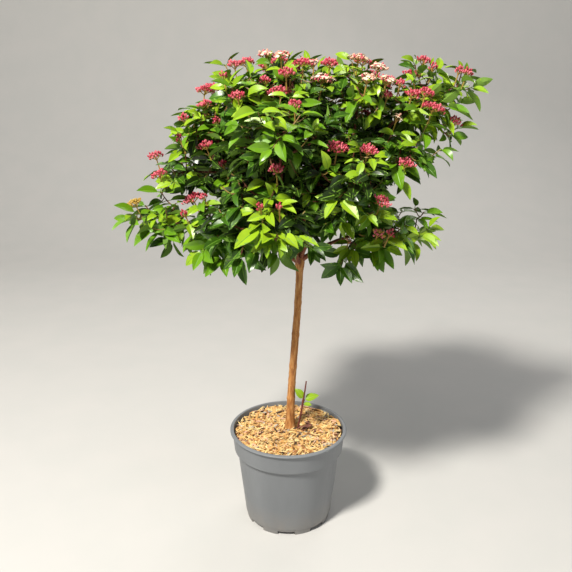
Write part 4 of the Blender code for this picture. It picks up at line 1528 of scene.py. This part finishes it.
def mulch_height(x, y):
    """The mulch's top: a low mound, soft lumps, level round the two feet, heaped at the wall."""
    away = math.hypot(x, y) / inner_radius(MULCH_TOP)
    mound = MULCH_MOUND * (1 - away ** 2) + EDGE_PILE * away ** EDGE_POWER
    lumps = MULCH_LUMP * math.sin(LUMP_WAVES[0] * x + 1) * math.cos(LUMP_WAVES[1] * y)
    feet = [math.hypot(x - foot.x, y - foot.y) for foot in (TRUNK_FOOT, SHOOT_FOOT)]
    blend = min(1.0, max(0.0, (min(feet) - FLAT_RADIUS) / FLAT_RADIUS))
    return MULCH_TOP + MULCH_MOUND * (1 - blend) + (mound + lumps) * blend


def make_bed():
    """The crumbly surface that shows between the chips."""
    bed = Gather()
    reach = inner_radius(MULCH_TOP) - 2 * CLEAR
    points, faces = [Vector((0, 0, mulch_height(0, 0) - BED_DROP))], []
    for i in range(1, BED_RINGS + 1):
        for turn in turns_of(BED_SIDES):
            x, y = (reach * i / BED_RINGS * f(turn) for f in (math.cos, math.sin))
            crumb = CRUMB_HEIGHT * noise.noise(Vector((x, y, 0)) * CRUMB_SCALE)
            points.append(Vector((x, y, mulch_height(x, y) - BED_DROP + crumb)))
    low = COMPOST_TOP + CLEAR
    foot = inner_radius(low) - 2 * CLEAR
    for turn in turns_of(BED_SIDES):
        points.append(Vector((foot * math.cos(turn), foot * math.sin(turn), low)))
    for k in range(BED_SIDES):
        after = (k + 1) % BED_SIDES
        faces.append((0, 1 + k, 1 + after))
        for i in range(BED_RINGS):
            inner, outer = 1 + i * BED_SIDES, 1 + (i + 1) * BED_SIDES
            faces.append((inner + k, outer + k, outer + after, inner + after))
    faces.append(tuple(range(1 + BED_RINGS * BED_SIDES, 1 + (BED_RINGS + 1) * BED_SIDES))[::-1])
    bed.add(points, faces)
    return bed


def chip(length, width, thickness, bend, draw):
    """One shred of wood along X: three sections, ragged at both ends."""
    points = []
    for share in (-0.5, draw.uniform(-CHIP_MIDDLE, CHIP_MIDDLE), 0.5):
        narrow = 1 - abs(share) * draw.uniform(*CHIP_NARROWING)
        sag = bend * length * (0.25 - share * share) * 4
        for y, z in ((-1, -1), (1, -1), (1, 1), (-1, 1)):
            ragged = share * length * (1 + draw.uniform(-CHIP_RAGGED, CHIP_RAGGED))
            points.append(Vector((ragged, y * width / 2 * narrow, sag + z * thickness / 2)))
    return points, [(3, 2, 1, 0), (8, 9, 10, 11)] + band(0, 4, 4) + band(4, 8, 4)


def make_chips():
    """The chips and shreds, dealt out by colour."""
    draw = random.Random("mulch")
    gathers = {name: Gather() for name in CHIP_SHARES}
    names, weights = list(CHIP_SHARES), list(CHIP_SHARES.values())
    reach = inner_radius(MULCH_TOP)
    while sum(len(g.points) for g in gathers.values()) < CHIPS:
        name = draw.choices(names, weights)[0]
        length = draw.uniform(*CHIP_LENGTH) * draw.uniform(*CHIP_BROKEN)
        width = draw.uniform(*CHIP_WIDTH)
        if name == "straw":
            width *= STRAW_WIDTH
        thickness = draw.uniform(*CHIP_THICKNESS)
        away = math.sqrt(draw.random()) * reach
        turn = draw.uniform(0, math.tau)
        x, y = away * math.cos(turn), away * math.sin(turn)
        yaw = draw.uniform(0, math.tau)
        tilt = draw.gauss(0, CHIP_TILT)
        lean = Euler((draw.gauss(0, CHIP_TILT), tilt, yaw)).to_matrix()
        height = mulch_height(x, y) + CHIP_RISE + draw.uniform(-CHIP_LAYERS / 2, CHIP_LAYERS / 2)
        height += abs(math.sin(tilt)) * length * CHIP_STAND
        centre = Vector((x, y, height))
        bend = draw.uniform(-CHIP_BEND, CHIP_BEND)
        shape, faces = chip(length, width, thickness, bend, draw)
        points = [centre + lean @ point for point in shape]
        feet = (TRUNK_FOOT, TRUNK_RADIUS + ROOT_FLARE * FLARE_SHOWN), (SHOOT_FOOT, SHOOT_RADIUS)
        clear = all(
            math.hypot(p.x, p.y) < inner_radius(min(p.z, POT_HEIGHT)) - CHIP_GAP / 2
            and p.z < POT_HEIGHT - CHIP_GAP
            and all(math.hypot(p.x - foot.x, p.y - foot.y) > wide for foot, wide in feet)
            for p in points
        )
        if clear:
            gathers[name].add(points, faces)
    return gathers


def make_litter(shapes):
    """A few dead leaves lying on the mulch."""
    litter = Gather()
    draw = random.Random("litter")
    for x, y in LITTER:
        roll, pitch = (draw.uniform(-LITTER_TILT, LITTER_TILT) for _ in range(2))
        place = Euler((roll, pitch, draw.uniform(0, math.tau))).to_matrix()
        size = LITTER_LENGTH * draw.uniform(*LITTER_SIZES)
        points, faces = draw.choice(shapes).upper
        spot = np.array((x, y, mulch_height(x, y) + LITTER_RISE))
        litter.add(points * size @ np.array(place).T + spot, faces)
    return litter


def make_shoot(shapes):
    """The thin leafy shoot from the trunk's foot: its stem and its leaves."""
    stem = Gather()
    foot = SHOOT_FOOT + UP * (MULCH_TOP + MULCH_MOUND + CLEAR)
    middle = foot.lerp(SHOOT_TIP, 0.5) + SHOOT_BEND
    line = arc_between(foot, middle, SHOOT_TIP, SHOOT_POINTS)
    radii = []
    for i in range(SHOOT_POINTS):
        t = i / (SHOOT_POINTS - 1)
        radius = SHOOT_RADIUS * (1 - SHOOT_TAPER * t)
        for share, *_ in SHOOT_LEAVES:
            radius += SHOOT_NODE_SWELL * math.exp(-(((t - share) / SHOOT_NODE_WIDTH) ** 2))
        radii.append(radius)
    stem.add(*tube(line, radii, SHOOT_SIDES))
    gathers = {part: Gather() for part in ("young", "underside", "rib")}
    draw = random.Random("shoot")
    for share, turn, rise, length in SHOOT_LEAVES:
        blade = Vector((1, 0, 0))
        blade.rotate(Euler((0, -math.radians(rise), math.radians(turn))))
        face = UP - SHOOT_FACING
        root, shape = along(line, share)[0], draw.choice(shapes)
        leaf_on(gathers, root, blade, face, length, "young", shape, SHOOT_LEAF_BROADER)
    return stem, gathers


# ---------------------------------------------------------------- materials

# Plain mottled surfaces: two web colours, the scale of their drift, the roughness, and where there
# is relief, its strength and the scale of its grain.
LOOKS = {
    "leaf_under": ("5f8428", "769a38", 26.0, 0.62),
    "leaf_rib": ("54801c", "76a02c", 60.0, 0.45),
    "head_stalk": ("9a8a35", "b9854a", 120.0, 0.5),
    "shoot_bark": ("7c5a34", "94803c", 120.0, 0.5),
    "shoot_under": ("6f8f45", "86a35a", 26.0, 0.62),
    "shoot_rib": ("7f9a35", "a3b552", 60.0, 0.45),
    "dead_leaf": ("5a3226", "94604c", 120.0, 0.8),
    "pore": ("c9a35e", "dfc083", 300.0, 0.8),
    "compost_crumb": ("2a1c13", "4a3424", 90.0, 0.95, 0.8, 500.0),
    "mulch_crumb": ("3c2919", "6c4c2e", 160.0, 0.95, 0.8, 600.0),
    "floor_pale": ("cdccc8", "d0ceca", 9.0, 0.85),
}
# Bark: the web colours of its streaks, and the strength of its relief.
BARKS = {
    "stem_bark": (("7a4a28", "b27840", "d2a066"), 0.45),
    "bough_bark": (("55301f", "7a4630", "96634a"), 0.4),
    "twig_bark": (("5b3423", "84523a"), 0.2),
    "shoot_stem_bark": (("5d2a22", "7f4033"), 0.2),
}
BARK_SCALE = 300.0
BARK_STREAK = (1, 1, 0.18)
BARK_GRAIN = 1400.0
BARK_ROUGHNESS = 0.72
BARK_SPECULAR = 0.35
# Lit and shaded copies of the leaves' green: deep and dark are painted shade, bright painted light.
LEAF_TONES = {
    "deep": ("1a2a07", "263c0a"),
    "dark": ("2f500a", "3f6a0f"),
    "mid": ("578410", "6e9a18"),
    "bright": ("7ea218", "92b420"),
    # The lightest: painted light on the newest leaves' own yellower green.
    "young": ("86a818", "9cbc28"),
}
# The leaves', the chips' and the heads' scales, roughness, relief and grain, as in LOOKS.
LEAF_LOOK = (26.0, 0.35, 0.05, 700.0)
LEAF_GLOSS = {"coat": 0.10, "coat_roughness": 0.20, "specular": 0.42}
CHIP_LOOK = (110.0, 0.85, 0.3, 1300.0)
HEAD_LOOK = (240.0, 0.55)
CHIP_TONES = {
    "straw": ("e6c27a", "f5dda2"),
    "tan": ("d09c58", "e2b878"),
    "brown": ("86552e", "b07843"),
    "pink": ("d2a080", "e4bd9f"),
    "grey": ("a39a8c", "c2baab"),
    "dark": ("3a261a", "57402c"),
}
HEAD_TONES = {
    "crimson": ("ae2b40", "c44456"),
    "rose": ("d4586a", "e07a82"),
    "blush": ("e49a84", "f0bea4"),
    "ochre": ("ae8436", "cdb04c"),
    "cream": ("f4dcbc", "f8e8d2"),
}
# Where a ramp of two colours and one of three has its stops.
TWO_STOPS = (0.35, 0.68)
THREE_STOPS = (0.25, 0.5, 0.75)
GLOSS_DRIFT = 0.10
LEAST_ROUGHNESS = 0.05
FINE_RELIEF = 0.0004

# The pot's plastic: web colours, scales per metre, and how the dust thins out with height.
POT_GREYS = ("74777a", "818487")
POT_STOPS = (0.3, 0.7)
POT_ROUGHNESS = 0.46
POT_SPECULAR = 0.45
POT_FLOW_SCALE = 14.0
POT_FLOW_STRETCH = (1, 1, 0.35)
DUST_COLOUR = "a3927c"
DUST_TOP = 0.05
DUST_MOST = 0.45
DUST_SCALE = 60.0
SCUFF_SCALE = 240.0
SCUFF_STRETCH = (1, 1, 0.2)
SCUFF_ROUGHNESS = (0.36, 0.58)
POT_GRAIN = 1500.0
POT_BUMP = 0.12
POT_RELIEF = 0.0002


def new_material(name, roughness, coat=0.0, coat_roughness=0.2, specular=0.5):
    """A material with its constant values set, and its shader and object coordinates at hand."""
    made = bpy.data.materials.new(name)
    made.use_nodes = True
    shader = made.node_tree.nodes["Principled BSDF"]
    shader.inputs["Roughness"].default_value = roughness
    shader.inputs["Coat Weight"].default_value = coat
    shader.inputs["Coat Roughness"].default_value = coat_roughness
    shader.inputs["Specular IOR Level"].default_value = specular
    place = made.node_tree.nodes.new("ShaderNodeTexCoord")
    return made, shader, place.outputs["Object"]


def add_noise(made, place, scale, stretch=(1, 1, 1), detail=4.0):
    """Noise of a scale per metre, drawn out by a stretch along each axis."""
    nodes, links = made.node_tree.nodes, made.node_tree.links
    mapping = nodes.new("ShaderNodeMapping")
    mapping.inputs["Scale"].default_value = stretch
    links.new(place, mapping.inputs["Vector"])
    made_noise = nodes.new("ShaderNodeTexNoise")
    made_noise.inputs["Scale"].default_value = scale
    made_noise.inputs["Detail"].default_value = detail
    links.new(mapping.outputs["Vector"], made_noise.inputs["Vector"])
    return made_noise.outputs["Fac"]


def add_ramp(made, value, stops):
    """A colour ramp over a value, from (position, colour) stops."""
    ramp = made.node_tree.nodes.new("ShaderNodeValToRGB")
    made.node_tree.links.new(value, ramp.inputs["Fac"])
    elements = ramp.color_ramp.elements
    elements[0].position, elements[0].color = stops[0]
    elements[1].position, elements[1].color = stops[-1]
    for position, tint in stops[1:-1]:
        elements.new(position).color = tint
    return ramp.outputs["Color"]


def add_range(made, value, low, high):
    """A value of 0 to 1, mapped to a range."""
    node = made.node_tree.nodes.new("ShaderNodeMapRange")
    node.inputs["To Min"].default_value = low
    node.inputs["To Max"].default_value = high
    made.node_tree.links.new(value, node.inputs["Value"])
    return node.outputs["Result"]


def add_bump(made, shader, height, strength, distance):
    """Fine relief from a height."""
    node = made.node_tree.nodes.new("ShaderNodeBump")
    node.inputs["Strength"].default_value = strength
    node.inputs["Distance"].default_value = distance
    made.node_tree.links.new(height, node.inputs["Height"])
    made.node_tree.links.new(node.outputs["Normal"], shader.inputs["Normal"])


def stops_of(places, tints):
    """Ramp stops at some places, from web colours."""
    return [(place, colour(tint)) for place, tint in zip(places, tints)]


def mottled(name, tints, scale, roughness, bump=0.0, grain=900.0, stretch=(1, 1, 1), **gloss):
    """A surface whose colour drifts over a ramp, with fine grain in its relief and its gloss."""
    made, shader, place = new_material(name, roughness, **gloss)
    drift = add_noise(made, place, scale, stretch)
    links = made.node_tree.links
    stops = stops_of(TWO_STOPS if len(tints) == len(TWO_STOPS) else THREE_STOPS, tints)
    links.new(add_ramp(made, drift, stops), shader.inputs["Base Color"])
    fine = add_noise(made, place, grain, stretch)
    low = max(LEAST_ROUGHNESS, roughness - GLOSS_DRIFT)
    high = min(1.0, roughness + GLOSS_DRIFT)
    links.new(add_range(made, fine, low, high), shader.inputs["Roughness"])
    if bump:
        add_bump(made, shader, fine, bump, FINE_RELIEF)
    return made


def look(name):
    """One of the plain mottled surfaces."""
    first, second, *rest = LOOKS[name]
    return mottled(name, (first, second), *rest)


def bark(name):
    """Bark whose colour runs in streaks along the limb."""
    tints, bump = BARKS[name]
    return mottled(
        name, tints, BARK_SCALE, BARK_ROUGHNESS, bump, BARK_GRAIN, BARK_STREAK,
        specular=BARK_SPECULAR,
    )


def leaf_material(name, tone):
    """A glossy leaf of one tone of painted light and shade, lightly mottled."""
    return mottled(name, LEAF_TONES[tone], *LEAF_LOOK, **LEAF_GLOSS)


def pot_plastic():
    """Grey moulded plastic: faint flow marks, scuffs, and dust towards the foot."""
    made, shader, place = new_material("pot_plastic", POT_ROUGHNESS, specular=POT_SPECULAR)
    nodes, links = made.node_tree.nodes, made.node_tree.links
    flow = add_noise(made, place, POT_FLOW_SCALE, POT_FLOW_STRETCH)
    base = add_ramp(made, flow, stops_of(POT_STOPS, POT_GREYS))
    split = nodes.new("ShaderNodeSeparateXYZ")
    links.new(place, split.inputs["Vector"])
    height = nodes.new("ShaderNodeMapRange")
    height.inputs["From Max"].default_value = DUST_TOP
    height.inputs["To Min"].default_value = DUST_MOST
    height.inputs["To Max"].default_value = 0.0
    links.new(split.outputs["Z"], height.inputs["Value"])
    patches = add_noise(made, place, DUST_SCALE)
    dust = nodes.new("ShaderNodeMath")
    dust.operation = "MULTIPLY"
    links.new(height.outputs["Result"], dust.inputs[0])
    links.new(patches, dust.inputs[1])
    mix = nodes.new("ShaderNodeMix")
    mix.data_type = "RGBA"
    links.new(dust.outputs["Value"], mix.inputs["Factor"])
    links.new(base, mix.inputs["A"])
    mix.inputs["B"].default_value = colour(DUST_COLOUR)
    links.new(mix.outputs["Result"], shader.inputs["Base Color"])
    scuffs = add_noise(made, place, SCUFF_SCALE, SCUFF_STRETCH)
    links.new(add_range(made, scuffs, *SCUFF_ROUGHNESS), shader.inputs["Roughness"])
    add_bump(made, shader, add_noise(made, place, POT_GRAIN), POT_BUMP, POT_RELIEF)
    return made


# ---------------------------------------------------------------- stage

FLOOR_FRONT = -3.0
FLOOR_BACK = 1.6
FLOOR_SIDE = 4.0
SWEEP_RADIUS = 1.2
SWEEP_STEPS = 12
WALL_TOP = 4.0
# Each light: where it stands, its size, its watts and its tint. All of them point at one place.
LIGHTS_AIM = Vector((0.0, 0.0, 0.42))
LIGHTS = {
    "key": ((-1.05, -1.5, 2.5), 0.40, 130.0, (1.0, 0.965, 0.90)),
    "fill": ((2.0, -1.4, 1.2), 1.6, 7.0, (0.93, 0.96, 1.0)),
    "back": ((0.9, 1.7, 1.9), 1.2, 12.0, (1.0, 0.98, 0.95)),
}
WORLD_TINT = (0.90, 0.93, 1.0, 1.0)
WORLD_STRENGTH = 0.20


def add_light(name, at, size, watts, tint):
    """A soft square light that points at the plant."""
    data = bpy.data.lights.new(name, "AREA")
    data.size = size
    data.energy = watts
    data.color = tint
    light = bpy.data.objects.new(name, data)
    light.location = at
    light.rotation_euler = (LIGHTS_AIM - Vector(at)).to_track_quat("-Z", "Y").to_euler()
    bpy.context.scene.collection.objects.link(light)


def make_stage():
    """A pale floor that curves up into a backdrop, soft light, and the camera."""
    sweep = [(FLOOR_FRONT, 0.0), (FLOOR_BACK, 0.0)]
    for k in range(1, SWEEP_STEPS + 1):
        turn = math.pi / 2 * k / SWEEP_STEPS
        rise = SWEEP_RADIUS - SWEEP_RADIUS * math.cos(turn)
        sweep.append((FLOOR_BACK + SWEEP_RADIUS * math.sin(turn), rise))
    sweep.append((FLOOR_BACK + SWEEP_RADIUS, WALL_TOP))
    bm = bmesh.new()
    rows = [[bm.verts.new((x, y, z)) for x in (-FLOOR_SIDE, FLOOR_SIDE)] for y, z in sweep]
    for low, high in zip(rows, rows[1:]):
        bm.faces.new((low[0], low[1], high[1], high[0]))
    floor = object_of("floor", bm)
    floor.data.shade_smooth()
    floor.data.materials.append(look("floor_pale"))
    for name, light in LIGHTS.items():
        add_light(name, *light)
    world = bpy.data.worlds.new("soft")
    world.use_nodes = True
    background = world.node_tree.nodes["Background"]
    background.inputs["Color"].default_value = WORLD_TINT
    background.inputs["Strength"].default_value = WORLD_STRENGTH
    bpy.context.scene.world = world
    bpy.context.scene.view_settings.view_transform = "Standard"
    data = bpy.data.cameras.new("camera")
    data.lens = LENS
    data.sensor_width = SENSOR
    camera = bpy.data.objects.new("camera", data)
    camera.location = CAMERA_AT
    camera.rotation_euler = (math.pi / 2 - PITCH, 0.0, 0.0)
    bpy.context.scene.collection.objects.link(camera)
    bpy.context.scene.camera = camera


# ---------------------------------------------------------------- main

def make_foliage_pieces(gathers):
    """The crown's pieces, each kind apart."""
    masses = ["foliage_" + name for name in MASSES]
    # One piece and material for each tone: the leaves' lit and shaded copies, painted light and
    # shade.
    for tone in TONES:
        replaced = masses if tone == "mid" else ()
        tinted = leaf_material("leaf_" + tone, tone)
        gathers[tone].piece("leaves_" + tone, tinted, "foliage", replaced)
    gathers["underside"].piece("leaf_undersides", look("leaf_under"), "foliage")
    gathers["rib"].piece("leaf_ribs", look("leaf_rib"), "foliage")
    gathers["stalk"].piece("head_stalks", look("head_stalk"), "foliage")
    for name, tints in HEAD_TONES.items():
        tinted = mottled("head_" + name, tints, *HEAD_LOOK)
        gathers[name].piece("heads_" + name, tinted, "foliage")
    gathers["twig"].piece("twigs", bark("twig_bark"), "bark")
    gathers["shoot"].piece("shoots", look("shoot_bark"), "bark")


def make_wood_pieces(trunk, boughs, pores):
    """The stem, the boughs and the pores of their bark."""
    trunk.piece("stem", bark("stem_bark"), "bark", ["trunk"])
    boughs.piece("boughs", bark("bough_bark"), "bark", ["bough_" + name for name in MASSES])
    pores.piece("bark_pores", look("pore"), "bark")


def make_filling_pieces(compost, shapes):
    """The compost's look, and the mulch's bed, chips and fallen leaves."""
    compost.data.materials.clear()
    compost.data.materials.append(look("compost_crumb"))
    make_bed().piece("mulch_bed", look("mulch_crumb"), "mulch", ["mulch"])
    for name, gather in make_chips().items():
        tinted = mottled("wood_" + name, CHIP_TONES[name], *CHIP_LOOK)
        gather.piece("chips_" + name, tinted, "mulch", smooth=False)
    make_litter(shapes).piece("fallen_leaves", look("dead_leaf"), "mulch")


def make_shoot_pieces(shapes):
    """The shoot's stem and leaves."""
    stem, leaves = make_shoot(shapes)
    stem.piece("shoot_stem", bark("shoot_stem_bark"), "foliage", ["foot_shoot"])
    # The shoot's leaves take the bright tone, painted light.
    leaves["young"].piece("shoot_leaves", leaf_material("shoot_leaf", "bright"), "foliage")
    leaves["underside"].piece("shoot_undersides", look("shoot_under"), "foliage")
    leaves["rib"].piece("shoot_ribs", look("shoot_rib"), "foliage")


def main():
    """Builds the stage and every piece."""
    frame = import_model()
    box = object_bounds()
    make_stage()
    lines = limb_lines()
    trunk, boughs, pores, radii = make_wood(lines)
    make_wood_pieces(trunk, boughs, pores)
    make_foliage_pieces(make_crown(lines, radii, box))
    settle(make_pot(), pot_plastic(), ["pot"])
    draw = random.Random("shoot blades")
    shapes = [Blade(draw) for _ in range(SHOOT_SHAPES)]
    make_filling_pieces(frame["nodes"]["compost"], shapes)
    make_shoot_pieces(shapes)


main()
